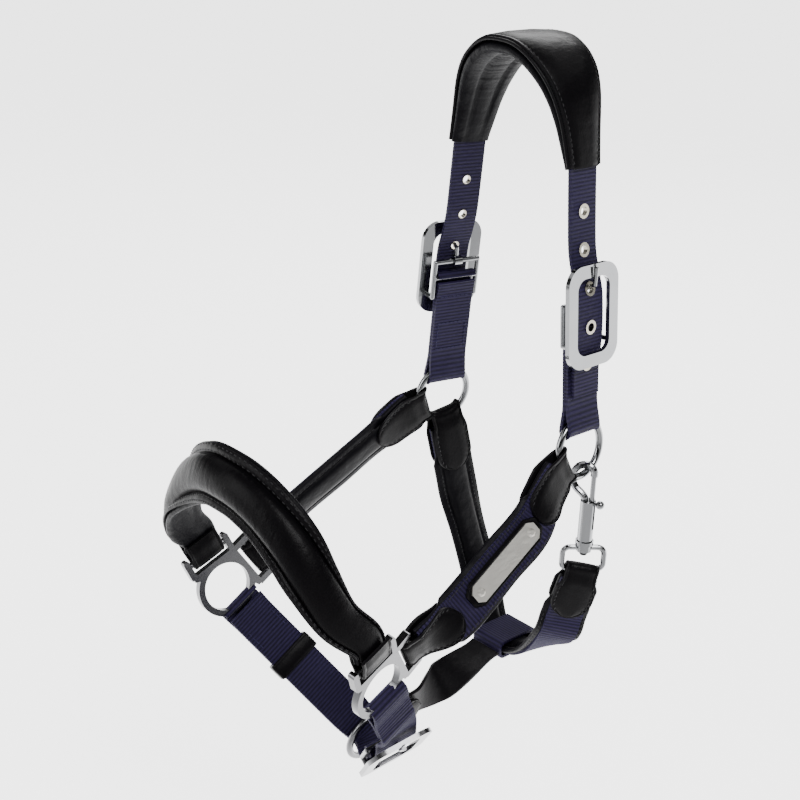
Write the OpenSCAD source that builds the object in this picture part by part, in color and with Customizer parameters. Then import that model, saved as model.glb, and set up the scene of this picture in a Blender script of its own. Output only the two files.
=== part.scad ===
// Headcollar with a padded crown, padded noseband, webbing cheeks and a
// clip-up throat lash, stored in the shape it has on a horse's head.
//
// Millimetres.  +X is towards the nose, +Y is the near (left) side, +Z is up.
// The origin is the underside of the crown at the middle of the poll.

/* [Straps] */
// Width of the webbing in the crown strap
crown_web_w = 25; // [20:1:32]
// Width of the webbing in the billets, cheeks, chin and throat
web_w = 30; // [25:1:38]
// Thickness of one layer of webbing
web_t = 2.4; // [1.5:0.1:3.5]
// Thickness of one layer of leather
hide_t = 2; // [1.2:0.1:3]
// Width of the padded leather backing under the cheeks and throat
backing_w = 34; // [30:1:44]
// Slack between parts that move past each other
slack = 0.4; // [0.3:0.05:0.8]

/* [Crown] */
// Width of the crown over the poll
crown_w = 56; // [44:1:70]
// Width of the crown where the webbing comes out
crown_end_w = 28; // [25:1:40]
// Thickness of the padding over the poll
crown_pad_t = 7; // [4:0.5:12]
// Distance of the near end of the crown from the middle
end_y = 56; // [45:1:75]
// Distance of the off end of the crown from the middle
off_end_y = 52; // [45:1:75]
// Height of the ends of the crown below the origin
end_z = -68; // [-90:1:-50]
// Outward lean of the hanging straps
lean = 5.5; // [0:0.5:10]
// Turn of the off side straps about the vertical
off_turn = 12; // [0:1:20]

/* [Eyelets] */
// Spacing of the eyelets
eyelet_pitch = 25; // [20:0.5:32]
// Distance from the end of the crown to the first eyelet
eyelet_first = 28; // [20:1:40]
// Eyelets on each side
eyelet_count = 5; // [4:1:6]
// Radius of the hole in an eyelet
eyelet_r = 2.9; // [2:0.1:3.5]
// Radius of the rim of an eyelet
eyelet_rim_r = 4.8; // [3.5:0.1:6]

/* [Buckles] */
// Width of a buckle frame
buckle_w = 48; // [40:1:56]
// Height of a buckle frame
buckle_h = 68; // [50:1:76]
// Width of the band of a buckle frame
buckle_band = 8.5; // [5:0.5:11]
// Thickness of a buckle frame
buckle_t = 3.2; // [2:0.2:5]
// Radius of the bars that carry the tongue and the billet
bar_r = 1.75; // [1.2:0.05:2.5]
// Radius of the tongue
tongue_r = 1.5; // [1:0.1:2]

/* [Rings] */
// Outside diameter of the upper rings
ring_od = 46; // [38:1:56]
// Thickness of the wire of the upper rings
ring_wire = 5; // [4:0.5:7]
// Outside diameter of the chin ring
chin_ring_od = 44; // [36:1:56]
// Thickness of the bar of the chin ring
chin_ring_bar = 5; // [4:0.5:8]

/* [Nose fittings] */
// Diameter of the hole the chin strap runs through
fitting_hole = 34; // [28:1:40]
// Width of the metal round that hole
fitting_band = 4.5; // [3:0.5:7]
// Thickness of the fitting
fitting_t = 5; // [3:0.5:7]
// Length of each straight edge that holds a strap
fitting_edge = 33; // [28:1:40]

/* [Bands] */
// Width of the noseband over the nose
nose_w = 38; // [30:1:55]
// Width of the noseband at the fittings
nose_end_w = 25; // [20:1:32]
// Thickness of the noseband lining pad
nose_pad_t = 6; // [4:0.5:10]
// Height of the padded roll on the noseband
nose_roll_t = 8; // [4:0.5:12]
// Width of the padded roll on the noseband
nose_roll_w = 24; // [14:1:34]
// Width of the jaw strap
jaw_w = 28; // [20:1:36]

/* [Nameplate] */
// Length of the nameplate
plate_l = 65; // [50:1:90]
// Width of the nameplate
plate_w = 13.5; // [8:0.5:20]
// Thickness of the nameplate
plate_t = 1.2; // [0.8:0.1:2]

/* [Hidden] */
$fn = 48;
smooth_steps = 4;
// How far pieces that are one solid run into each other.
lap = 0.2;

// Places on the head.  Each is given for the near side; the off side is its
// mirror image unless it says otherwise.
fitting_at = [183, 80, -363];
fitting_flare = 8;
fitting_tip = 10;
fitting_lean = 16;
chin_ring_at = [116, 0, -470];
chin_ring_axis = [-0.03, 0.97, -0.24];
chin_buckle_at = [137, 41, -444];
chin_buckle_up = [0.38, 0.6, 0.71];
throat_low = [-18, 0, -441];

// Distances down the hanging straps from the ends of the crown, and how far
// inside the strap the bars sit that carry tongue, billet and ring.
function end_of(s) = s > 0 ? end_y : off_end_y;
function hang_y(s) = s * (end_of(s) - hide_t - 0.2 - web_t / 2);
function hang_ring(s) = s > 0 ? 188 : 192;
buckle_at = 95;
tongue_bar_at = 88;
billet_bar_at = 100;
bail_foot_at = 114;
inner_bar_n = 0;
frame_n = 7.9;
// The crown strap swells outwards over the bars of its buckle.
crown_web_path = [[-2, 0], [30, 0], [52, 0.5], [66, 3], [79, 6.2], [90, 7], [104, 7],
                  [118, 6], [132, 4.4], [150, 4.2]];

ring_r = (ring_od - ring_wire) / 2;
wire_r = ring_wire / 2;
chin_ring_r = (chin_ring_od - chin_ring_bar) / 2;
rim_r = (fitting_hole + fitting_band) / 2;

// The straight edges of a nose fitting slope down from its top like a roof.
edge_slope = 40;
edge_top = rim_r / cos(edge_slope);
strap_bar_off = 9.5;
strap_bar_r = 2.2;
prong_l = 13;

// Leather end tabs: room inside, length and the narrower loop at a ring.
tab_in = 4.3;
tab_l = 44;
nose_tab_l = 12.5;
ring_tab_w = 19;
ring_tab_back = 2.4;
jaw_tab_w = 16;
jaw_tab_back = 1;
plate_patch_t = 1.2;
plate_rise = 0.6;

// The snap stands upright; its origin is the middle of the eye's top bar.
// The eye and the hook are turned about the vertical by different amounts.
eye_turn = -40;
snap_turn = 20;
eye_w = 33;
eye_drop = 17;
eye_corner = 5;
eye_r = 2;
pivot_r = 2;
barrel_foot = 2.8;
barrel_r = 5.3;
barrel_l = 33;
barrel_top = barrel_foot + barrel_l;
hook_wire = 2.6;
gate_r = 1.8;
gate_y = 2.6;
gate_l = 25.2;
// The middle line of the hook, outwards and up from the top of the barrel,
// and the place inside it where the ring's wire lies.
hook_line = [[-2.6, 0.4], [-2.7, 1.6], [-5.2, 4.2], [-9.6, 7.6], [-12.4, 12.6], [-12, 18.4],
             [-9, 23.4], [-4, 26], [0.6, 25], [gate_y, 21.6], [gate_y, 18.8]];
hook_seat = [-4.2, 19.7];

keeper_at = 52;
keeper_l = 13;

function unit(v) = v / norm(v);
function square_to(v, t) = unit(v - (v * t) * t);
function mirror_y(v, s) = [v.x, s * v.y, v.z];
function mix(a, b, t) = a * (1 - t) + b * t;

// A smooth curve through a list of values, a few steps to each span.
function spline_at(v, i, t) =
    let (n = len(v) - 1,
         a = v[max(i - 1, 0)],
         b = v[i],
         c = v[min(i + 1, n)],
         d = v[min(i + 2, n)])
    (2 * b + (c - a) * t + (2 * a - 5 * b + 4 * c - d) * t * t
     + (3 * b - a - 3 * c + d) * t * t * t) / 2;
function smooth(v, steps = smooth_steps) =
    [for (i = [0:len(v) - 2], k = [0:steps - 1]) spline_at(v, i, k / steps), v[len(v) - 1]];

// Frames along a band: [middle, across, outwards] at each station.
function band_frames(points, across) =
    let (n = len(points) - 1)
    [for (i = [0:n])
        let (t = unit(points[min(i + 1, n)] - points[max(i - 1, 0)]),
             w = unit(across[i] - (across[i] * t) * t),
             o = cross(w, t))
        [points[i], w, o]];

// A closed solid through a list of sections with the same number of points.
module loft(frames, sections) {
    n = len(frames);
    m = len(sections[0]);
    pts = [for (i = [0:n - 1], q = sections[i])
        frames[i][0] + q[0] * frames[i][1] + q[1] * frames[i][2]];
    sides = [for (i = [0:n - 2], j = [0:m - 1], half = [0, 1])
        let (a = i * m + j, b = i * m + (j + 1) % m, c = b + m, d = a + m)
        half == 0 ? [a, b, c] : [a, c, d]];
    start = [[for (j = [m - 1:-1:0]) j]];
    finish = [[for (j = [0:m - 1]) (n - 1) * m + j]];
    polyhedron(pts, concat(sides, start, finish));
}

// Section of a flat band between two heights.  A band that twists is drawn
// in several columns so that its layers keep clear of each other.
function flat(w, lo, hi, columns = 1) = concat(
    [for (k = [0:columns]) [w * (k / columns - 0.5), lo]],
    [for (k = [columns:-1:0]) [w * (k / columns - 0.5), hi]]);
// Section of a padded band, its edges drawn in at the top.
function padded(w, lo, hi) =
    let (c = min((hi - lo) * 0.45, w / 4))
    [[-w / 2 + c, lo], [w / 2 - c, lo], [w / 2, lo + c], [w / 2, hi - c / 2],
     [w / 2 - c, hi], [-w / 2 + c, hi], [-w / 2, hi - c / 2], [-w / 2, lo + c]];

// Section of a round wire.
function round_section(r) = [for (a = [0:30:330]) r * [cos(a), sin(a)]];

// Put the local X and Y axes along two directions at right angles.
module set_frame(o, x, y) {
    z = cross(x, y);
    multmatrix([[x.x, y.x, z.x, o.x], [x.y, y.y, z.y, o.y], [x.z, y.z, z.z, o.z], [0, 0, 0, 1]])
        children();
}

// A flat shape with round corners.
module rounded(w, h, r) {
    square([w - 2 * r, h], center = true);
    square([w, h - 2 * r], center = true);
    for (i = [-1, 1], j = [-1, 1])
        translate([i * (w / 2 - r), j * (h / 2 - r)])
            circle(r = r);
}

// A round bar bent to a circle, lying in the XY plane.
module hoop(r, bar, from = 0, sweep = 360) {
    rotate([0, 0, from])
        rotate_extrude(angle = sweep)
            translate([r, 0])
                circle(r = bar);
}

// A straight rod between two points.
module rod(a, b, r) {
    d = b - a;
    translate(a)
        rotate([0, acos(d.z / norm(d)), atan2(d.y, d.x)])
            cylinder(r = r, h = norm(d));
}

// A slot with round ends between two distances along X.
module slot(a, b, r) {
    translate([a, 0])
        circle(r = r);
    translate([b, 0])
        circle(r = r);
    if (b > a)
        translate([a, -r])
            square([b - a, 2 * r]);
}

// A strap folded round two bars, drawn as its edge with the strap along X.
// Each bar is given by the two ends of the room it has and its clearance.
module folded_edge(near, far, t) {
    a = near[2] + t;
    b = far[2] + t;
    difference() {
        union() {
            slot(near[0], near[1], a);
            slot(far[0], far[1], b);
            polygon([[near[1], a - lap], [near[1] + 2 * a, t], [far[0] - 2 * b, t],
                     [far[0] + lap, b - lap], [far[0] + lap, lap - b], [far[0] - 2 * b, -t],
                     [near[1] + 2 * a, -t], [near[1], lap - a]]);
        }
        slot(near[0], near[1], near[2]);
        slot(far[0], far[1], far[2]);
    }
}

// The edge of an end tab: two layers joined by a round loop at the start.
module tab_edge(length, back) {
    outer = tab_in + hide_t;
    difference() {
        union() {
            slot(-back, 1, outer);
            translate([0, -outer])
                square([length, 2 * outer]);
        }
        slot(-back, length + outer, tab_in);
    }
}

// A leather end tab: a sleeve over the end of a band that loops round a bar
// at the origin.  The band leaves along +X; the tab ends in a round tongue.
// back is the room behind the bar, which a curved ring needs.
module tab(length, w, loop_w, back) {
    outer = tab_in + hide_t;
    intersection() {
        rotate([90, 0, 0])
            linear_extrude(w + 2, center = true)
                tab_edge(length, back);
        linear_extrude(4 * outer, center = true)
            union() {
                translate([-back - outer - 1, -loop_w / 2])
                    square([back + outer + 1 + w / 2, loop_w]);
                polygon([[w / 4, -loop_w / 2], [w / 2, -w / 2], [length - w / 2, -w / 2],
                         [length - w / 2, w / 2], [w / 2, w / 2], [w / 4, loop_w / 2]]);
                translate([length - w / 2, 0])
                    circle(d = w);
            }
    }
}

// ------------------------------------------------------------ positions

// A point on a hanging strap, from its place across, outwards and down.
function hang_point(s, x, n, d) =
    let (y = n * cos(lean) + d * sin(lean),
         z = n * sin(lean) - d * cos(lean),
         a = s > 0 ? 0 : 180 - off_turn)
    [x * cos(a) - y * sin(a), hang_y(s) + x * sin(a) + y * cos(a), end_z + z];
function hang_vector(s, x, n, d) = hang_point(s, x, n, d) - hang_point(s, 0, 0, 0);

// Directions of a nose fitting: forwards in its plane, and up in its plane.
function fit_fore(s) = [cos(fitting_flare), s * sin(fitting_flare), 0];
function fit_rise(s) = [0, s * sin(fitting_tip), cos(fitting_tip)];
function fit_x(s) =
    let (x = fit_fore(s), y = unit(fit_rise(s) - (fit_rise(s) * x) * x))
    cos(fitting_lean) * x + sin(fitting_lean) * y;
function fit_y(s) =
    let (x = fit_fore(s), y = unit(fit_rise(s) - (fit_rise(s) * x) * x))
    cos(fitting_lean) * y - sin(fitting_lean) * x;
function fit_point(s, x, y) = mirror_y(fitting_at, s) + x * fit_x(s) + y * fit_y(s);

// Middle of the bar that carries the noseband (side 1) or the cheek (side -1).
function edge_dir(side) = [side * cos(edge_slope), -sin(edge_slope)];
function edge_out(side) = [side * sin(edge_slope), cos(edge_slope)];
function bar_local(side) = [0, edge_top] + edge_dir(side) * fitting_edge / 2
                           + edge_out(side) * strap_bar_off;
function bar_point(s, side) = fit_point(s, bar_local(side).x, bar_local(side).y);
function bar_axis(s, side) = edge_dir(side).x * fit_x(s) + edge_dir(side).y * fit_y(s);
function bar_out(s, side) = edge_out(side).x * fit_x(s) + edge_out(side).y * fit_y(s);

function ring_centre(s) = hang_point(s, 0, inner_bar_n, hang_ring(s));
function ring_axis(s) = hang_vector(s, 0, 1, 0);
// The point on a ring's wire that lies nearest a direction.
function ring_point(s, dir) =
    let (n = ring_axis(s), flat_dir = unit(dir - (dir * n) * n))
    ring_centre(s) + ring_r * flat_dir;

// The snap's hook hangs over the lowest part of the near ring.
snap_at = ring_point(1, [-0.3, 0, -1])
          - [-sin(snap_turn) * hook_seat.x, cos(snap_turn) * hook_seat.x,
             barrel_top + hook_seat.y];

// ---------------------------------------------------------------- crown

crown_half = [[0, 0, 8.5], [0, 12, 7.5], [0, 22, 3.5], [0, 31, -3], [0, 39, -12],
              [0, 45, -23], [0, 49, -35], [0, 52, -48], [0, end_y, end_z]];
crown_widths = [crown_w, crown_w, crown_w - 2, crown_w - 6, crown_w - 12,
                crown_w - 18, crown_w - 23, crown_w - 26, crown_end_w];
crown_pads = [1, 1, 1, 0.95, 0.9, 0.8, 0.65, 0.45, 0.2];

function both_points(half, reach = 1) = concat(
    [for (i = [len(half) - 1:-1:1]) mirror_y(half[i], -reach)], half);
function both_values(half) = concat([for (i = [len(half) - 1:-1:1]) half[i]], half);

crown_points = smooth(both_points(crown_half, off_end_y / end_y));
crown_n = len(crown_points) - 1;
// The crown turns towards the off side straps as it comes down to them.
function crown_turn(i) = off_turn * pow(max(1 - 2 * i / crown_n, 0), 2);
crown_frames = band_frames(crown_points,
    [for (i = [0:crown_n]) [cos(crown_turn(i)), -sin(crown_turn(i)), 0]]);
crown_width = smooth(both_values(crown_widths));
crown_pad = smooth(both_values(crown_pads));

module crown_outer() {
    color("#1c1a1c")
        loft(crown_frames, [for (i = [0:crown_n]) flat(crown_width[i], -hide_t, 0)]);
}

module crown_padding() {
    top = -hide_t - web_t - 0.4;
    color("#26232a")
        loft(crown_frames, [for (i = [0:crown_n])
            padded(crown_width[i] + 1, top - 1 - crown_pad_t * crown_pad[i], top)]);
}

// The frame of the hanging strap on one side: X across, Y outwards, Z up.
module hang(s) {
    translate([0, hang_y(s), end_z])
        rotate([0, 0, s > 0 ? 0 : 180 - off_turn])
            rotate([lean, 0, 0])
                children();
}

// Lay a drawing with X down the strap and Y outwards on a hanging strap,
// and pull it to a width.
module hang_edge(s, w) {
    hang(s)
        set_frame([0, 0, 0], [0, 0, -1], [0, 1, 0])
            linear_extrude(w, center = true)
                children();
}

function eyelet_down(i) = eyelet_first + i * eyelet_pitch;
tail_points = smooth([for (p = crown_web_path) [0, p.y, -p.x]]);

// How far out the strap lies at a distance down, and its slope there.
function tail_out(d) = lookup(d, [for (p = tail_points) [-p.z, p.y]]);
function tail_tilt(d) = atan((tail_out(d + 2) - tail_out(d - 2)) / 4);

// The middle of an eyelet, Z outwards through it.
module at_eyelet(s, i) {
    d = eyelet_down(i);
    hang(s)
        translate([0, tail_out(d), -d])
            rotate([tail_tilt(d) - 90, 0, 0])
                children();
}

// The webbing is one length from end to end, under the leather of the crown.
function tail_line(s) = [for (p = tail_points) if (p.z < -5) hang_point(s, 0, p.y, -p.z)];
function reversed(v) = [for (i = [len(v) - 1:-1:0]) v[i]];
web_points = concat(reversed(tail_line(-1)),
    [for (f = crown_frames) f[0] - (hide_t + 0.2 + web_t / 2) * f[2]], tail_line(1));
web_across = concat([for (p = tail_line(-1)) hang_vector(-1, -1, 0, 0)],
    [for (f = crown_frames) f[1]], [for (p = tail_line(1)) [1, 0, 0]]);
web_frames = band_frames(web_points, web_across);

module crown_webbing() {
    color("#2a2852")
        difference() {
            loft(web_frames, [for (f = web_frames) flat(crown_web_w, -web_t / 2, web_t / 2)]);
            for (s = [-1, 1], i = [0:eyelet_count - 1])
                at_eyelet(s, i)
                    cylinder(r = eyelet_r + 0.5, h = 3 * web_t, center = true);
        }
}

module crown_eyelets() {
    rim_t = 0.4;
    color("#cfc9bc")
        for (s = [-1, 1], i = [0:eyelet_count - 1])
            at_eyelet(s, i)
                difference() {
                    union() {
                        translate([0, 0, -web_t / 2 - rim_t])
                            cylinder(r = eyelet_r + 0.4, h = web_t + 2 * rim_t);
                        translate([0, 0, web_t / 2 + 0.25])
                            cylinder(r = eyelet_rim_r, h = rim_t);
                    }
                    cylinder(r = eyelet_r, h = 4 * web_t, center = true);
                }
}

// -------------------------------------------------------------- buckles

// A buckle frame in its own plane, X across and Z up, with the bail behind
// it that carries the tongue and the billet.  Distances down are from d0.
module buckle(d0) {
    hole_w = buckle_w - 2 * buckle_band;
    hole_h = buckle_h - 2 * buckle_band;
    side = hole_w / 2 + bar_r + 0.1;
    difference() {
        translate([0, frame_n, -buckle_at + d0])
            rotate([-90, 0, 0])
                linear_extrude(buckle_t)
                    difference() {
                        rounded(buckle_w, buckle_h, 13);
                        rounded(hole_w, hole_h, 8);
                    }
        translate([0, frame_n + buckle_t, -buckle_at + d0 + buckle_h / 2 - buckle_band])
            rod([0, 1, -4], [0, 1, buckle_band], tongue_r + 0.4);
    }
    for (d = [tongue_bar_at, billet_bar_at])
        rod([-side, inner_bar_n, d0 - d], [side, inner_bar_n, d0 - d], bar_r);
    for (x = [-side, side]) {
        rod([x, inner_bar_n, d0 - tongue_bar_at], [x, inner_bar_n, d0 - bail_foot_at], bar_r);
        rod([x, inner_bar_n, d0 - bail_foot_at], [x, frame_n + 1, d0 - bail_foot_at], bar_r);
        for (d = [tongue_bar_at, bail_foot_at])
            translate([x, inner_bar_n, d0 - d])
                sphere(r = bar_r);
    }
}

// The tongue of a buckle: a sleeve on its bar and a wire bent to come
// through the eyelet steeply and lie in the notch of the frame.
module tongue(d0) {
    bends = [[0, inner_bar_n + 1.2, 3 - tongue_bar_at], [0, 1.4, -eyelet_down(2) - 1.4],
             [0, 11.4, -eyelet_down(2) + 3.4], [0, 12.7, -buckle_at + buckle_h / 2 - 2]];
    frames = band_frames(bends, [for (b = bends) [1, 0, 0]]);
    translate([0, 0, d0])
        difference() {
            union() {
                translate([0, inner_bar_n, -tongue_bar_at])
                    rotate([0, 90, 0])
                        cylinder(r = bar_r + 1.7, h = 6, center = true);
                loft(frames, [for (f = frames) round_section(tongue_r)]);
            }
            translate([0, inner_bar_n, -tongue_bar_at])
                rotate([0, 90, 0])
                    cylinder(r = bar_r + slack, h = 8, center = true);
        }
}

module cheek_buckle(s) {
    color("#c9ccd0")
        hang(s)
            buckle(0);
}
module cheek_buckle_near() { cheek_buckle(1); }
module cheek_buckle_off() { cheek_buckle(-1); }

module cheek_tongue(s) {
    color("#c9ccd0")
        hang(s)
            tongue(0);
}
module cheek_tongue_near() { cheek_tongue(1); }
module cheek_tongue_off() { cheek_tongue(-1); }

// The billet's lower fold has room for the curve of the ring across its
// width.
module billet(s) {
    inside = ring_r - wire_r;
    top = hang_ring(s) - ring_r;
    low = hang_ring(s) - sqrt(inside * inside - web_w * web_w / 4) - wire_r;
    color("#2a2852")
        hang_edge(s, web_w)
            translate([0, inner_bar_n])
                folded_edge([billet_bar_at, billet_bar_at, bar_r + 0.15],
                            [top, low, wire_r + slack], web_t);
}
module billet_near() { billet(1); }
module billet_off() { billet(-1); }

// ---------------------------------------------------------------- rings

module upper_ring(s) {
    color("#c9ccd0")
        hang(s)
            translate([0, inner_bar_n, -hang_ring(s)])
                rotate([90, 0, 0])
                    hoop(ring_r, wire_r);
}
module upper_ring_near() { upper_ring(1); }
module upper_ring_off() { upper_ring(-1); }

// --------------------------------------------------------- nose fittings

module nose_fitting(s) {
    band_mid = fitting_hole / 2 + fitting_band / 2;
    color("#c2c4c6")
        set_frame(mirror_y(fitting_at, s), fit_x(s), fit_y(s)) {
            linear_extrude(fitting_t, center = true)
                difference() {
                    union() {
                        circle(r = band_mid + fitting_band / 2);
                        polygon([[0, edge_top + 3],
                                 edge_end(1, 2), edge_end(1, -2), [0, 10],
                                 edge_end(-1, -2), edge_end(-1, 2)]);
                        for (side = [-1, 1])
                            prongs(side);
                    }
                    circle(d = fitting_hole, $fn = 96);
                }
            for (side = [-1, 1])
                strap_bar(side);
        }
}
function edge_end(side, out) = [0, edge_top] + edge_dir(side) * (fitting_edge + 1)
                               + edge_out(side) * out;

// The two prongs that keep a strap on its bar, in the plane of the fitting.
module prongs(side) {
    for (along = [0, fitting_edge]) {
        foot = [0, edge_top] + edge_dir(side) * along;
        translate(foot)
            rotate(90 - side * edge_slope)
                union() {
                    translate([0, -2.2])
                        square([prong_l, 4.4]);
                    translate([prong_l, 0])
                        circle(r = 2.2);
                }
    }
}

// The round bar between the prongs.
module strap_bar(side) {
    foot = [0, edge_top] + edge_out(side) * strap_bar_off;
    end = foot + edge_dir(side) * fitting_edge;
    rod([foot.x, foot.y, 0], [end.x, end.y, 0], strap_bar_r);
}
module nose_fitting_near() { nose_fitting(1); }
module nose_fitting_off() { nose_fitting(-1); }

// --------------------------------------------------------------- cheeks

// A cheekpiece is straight between its end tabs, where it lies outside the
// line from ring to fitting and is rolled a little.
function cheek_bow(s) = s > 0 ? [-1, 6, -7] : [0, -8, 2];
function cheek_roll(s) = s > 0 ? 32 : 20;

cheek_steps = 8;
cheek_loop = 13;

// A point on the straight part, from its place between ring and fitting.
function cheek_between(s, t) = ring_centre(s) * (1 - t) + bar_point(s, -1) * t + cheek_bow(s);
function cheek_start(s) = ring_point(s, s > 0 ? [0.87, 0, -0.49] : [0.92, 0, -0.39]);
function cheek_out(s) = unit(cheek_start(s) - ring_centre(s));
function cheek_in(s) = unit(unit(bar_point(s, -1) - cheek_between(s, 0.78))
                            - 1.5 * bar_out(s, -1));

// Directions across it at the ring, in the middle and at the fitting.
function ring_across(s) =
    let (t = cross(ring_axis(s), cheek_out(s)))
    square_to(t.z > 0 ? t : -t, cheek_out(s));
function bar_across(s) = square_to(-bar_axis(s, -1), cheek_in(s));
function mid_across(s) =
    let (x = unit(bar_point(s, -1) - ring_centre(s)),
         y = square_to(ring_across(s) + bar_across(s), x))
    cos(cheek_roll(s)) * y + s * sin(cheek_roll(s)) * cross(x, y);

function cheek_path(s) =
    let (a = cheek_start(s), b = bar_point(s, -1))
    [a, a + cheek_loop * cheek_out(s), cheek_between(s, 0.34), cheek_between(s, 0.52),
     cheek_between(s, 0.78), b - cheek_loop * cheek_in(s), b];
function cheek_turns(s) =
    let (a = ring_across(s), m = mid_across(s), b = bar_across(s))
    [a, a, m, m, m, b, b];
function cheek_frames(s) = band_frames(smooth(cheek_path(s), cheek_steps),
                                       smooth(cheek_turns(s), cheek_steps));

// A layer of a cheekpiece from one station to another, outwards positive.
module cheek_layer(s, from, to, widths, lo, hi) {
    f = cheek_frames(s);
    loft([for (i = [from:to]) f[i]],
         [for (i = [from:to]) s > 0 ? flat(widths[i - from], lo, hi, 4)
                                    : flat(widths[i - from], -hi, -lo, 4)]);
}

first_station = cheek_steps;
last_station = 5 * cheek_steps;

module cheek_backing(s) {
    widths = [for (i = [first_station:last_station])
        min(backing_w, web_w - 1 + 1.2 * min(max(0, min(i - 15, 33 - i)), 5))];
    color("#1c1a1c")
        cheek_layer(s, first_station, last_station, widths, -tab_in + 0.5, tab_in - web_t - 0.9);
}
module cheek_backing_near() { cheek_backing(1); }
module cheek_backing_off() { cheek_backing(-1); }

module cheek_webbing(s) {
    color("#2a2852")
        cheek_layer(s, first_station, last_station,
                    [for (i = [first_station:last_station]) web_w - 1],
                    tab_in - web_t - 0.4, tab_in - 0.4);
}
module cheek_webbing_near() { cheek_webbing(1); }
module cheek_webbing_off() { cheek_webbing(-1); }

// Frames of a hide folded round a bar at o: along one leaf to the bar, round
// it and back along the other.  The leaves leave the bar along x, y is across.
function folded_frames(leaf, o, x, y, back) =
    let (h = tab_in + hide_t / 2, n = cross(y, x), last = len(leaf) - 1)
    concat([for (i = [last:-1:0]) [leaf[i][0] - h * leaf[i][2], leaf[i][1], -leaf[i][2]]],
           [for (a = [-90:18:90])
               let (d = sin(a) * n - cos(a) * x)
               [o - back * x + h * d, y, d]],
           [for (f = leaf) [f[0] + h * f[2], f[1], f[2]]]);

// An end tab of a cheekpiece: a hide folded round the metal, its two leaves
// following the strap from one station to another and ending in a round tongue.
module cheek_tab(s, o, x, y, loop_w, back, first, w, end) {
    f = cheek_frames(s);
    root = [o + (cheek_loop - 3) * x, y, cross(y, x)];
    leaf = [for (i = [0:cheek_steps])
        let (g = f[first + (end > 0 ? i : cheek_steps - i)])
        i == 0 ? root : [g[0], g[1], end * g[2]]];
    frames = folded_frames(leaf, o, x, y, back);
    n = len(frames) - 1;
    color("#1c1a1c")
        loft(frames, [for (k = [0:n])
            let (t = min(k, n - k) / cheek_steps,
                 v = t > 1 ? loop_w
                   : t > 0.5 ? mix(w, loop_w, max(0, 4 * t - 3))
                   : w * sqrt(1.02 - pow(1 - 2 * t, 2)))
            flat(v, -hide_t / 2, hide_t / 2, 3)]);
}

module cheek_rear_tab(s) {
    cheek_tab(s, cheek_start(s), cheek_out(s), ring_across(s), ring_tab_w, ring_tab_back,
              cheek_steps, web_w, 1);
}
module cheek_rear_tab_near() { cheek_rear_tab(1); }
module cheek_rear_tab_off() { cheek_rear_tab(-1); }

module cheek_front_tab(s) {
    cheek_tab(s, bar_point(s, -1), -cheek_in(s), bar_across(s), web_w - 5, 0.5,
              4 * cheek_steps, web_w - 2, -1);
}
module cheek_front_tab_near() { cheek_front_tab(1); }
module cheek_front_tab_off() { cheek_front_tab(-1); }

// ------------------------------------------------------------ nameplate

module plate_shape(l, w) {
    point = w * 0.3;
    polygon([[-l / 2, -w / 4], [-l / 2 + point, -w / 2], [l / 2 - point, -w / 2], [l / 2, -w / 4],
             [l / 2, w / 4], [l / 2 - point, w / 2], [-l / 2 + point, w / 2], [-l / 2, w / 4]]);
}

// The nameplate's frame: the middle of the near cheek, Z outwards.
plate_frame = cheek_frames(1)[3 * cheek_steps];
plate_at = plate_frame[0] + (tab_in + plate_rise) * plate_frame[2];
module on_plate(height) {
    set_frame(plate_at, cross(plate_frame[2], plate_frame[1]), -plate_frame[1])
        translate([0, 0, height])
            children();
}

module nameplate_patch() {
    color("#1c1a1c")
        on_plate(0)
            linear_extrude(plate_patch_t)
                plate_shape(plate_l + 1, plate_w + 4);
}

module nameplate() {
    color("#b9b7b2")
        on_plate(plate_patch_t)
            difference() {
                linear_extrude(plate_t)
                    plate_shape(plate_l, plate_w);
                for (x = [-1, 1])
                    translate([x * (plate_l / 2 - 6), 0, -1])
                        cylinder(r = 1.3, h = plate_t + 2);
            }
}

module nameplate_rivets() {
    color("#c9ccd0")
        for (x = [-1, 1])
            on_plate(plate_patch_t)
                translate([x * (plate_l / 2 - 6), 0, 0]) {
                    cylinder(r = 1.2, h = plate_t + 0.5);
                    translate([0, 0, plate_t])
                        cylinder(r1 = 3, r2 = 1.6, h = 1.4);
                }
}

// ------------------------------------------------------------- noseband

function nose_half() =
    let (b = bar_point(1, 1), o = bar_out(1, 1))
    [[240, 0, -237], [239, 18, -239], [236, 36, -247], [232, 54, -261], [227, 68, -279],
     [217, 80, -303], b + o * 20 + [0, -3, 0], b + o * 9];
nose_half_across = [[0.3, 0, -0.95], [0.3, 0, -0.95], [0.32, 0, -0.95], [0.45, 0, -0.9],
                    [0.65, 0, -0.75], [0.85, 0, -0.5], bar_axis(1, 1), bar_axis(1, 1)];
nose_widths = [nose_w, nose_w, nose_w, nose_w - 1, nose_w - 3, nose_w - 7, 27, 25];
nose_fill = [1, 1, 1, 1, 0.95, 0.85, 0.6, 0.35];

nose_points = smooth(both_points(nose_half()));
nose_n = len(nose_points) - 1;
nose_frames = band_frames(nose_points, smooth(both_points(nose_half_across)));
nose_width = smooth(both_values(nose_widths));
nose_full = smooth(both_values(nose_fill));

module noseband_lining() {
    color("#26232a")
        loft(nose_frames, [for (i = [0:nose_n])
            padded(nose_width[i], -nose_pad_t * nose_full[i], -0.4)]);
}

module noseband_roll() {
    color("#1c1a1c")
        loft(nose_frames, [for (i = [0:nose_n])
            let (w = min(nose_roll_w, nose_width[i] - 4), h = nose_roll_t * nose_full[i])
            [[-w / 2, 0.9], [w / 2, 0.9], [w / 2, 0.9 + h * 0.4], [w * 0.3, 0.9 + h * 0.85],
             [0, 0.9 + h], [-w * 0.3, 0.9 + h * 0.85], [-w / 2, 0.9 + h * 0.4]]]);
}

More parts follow.
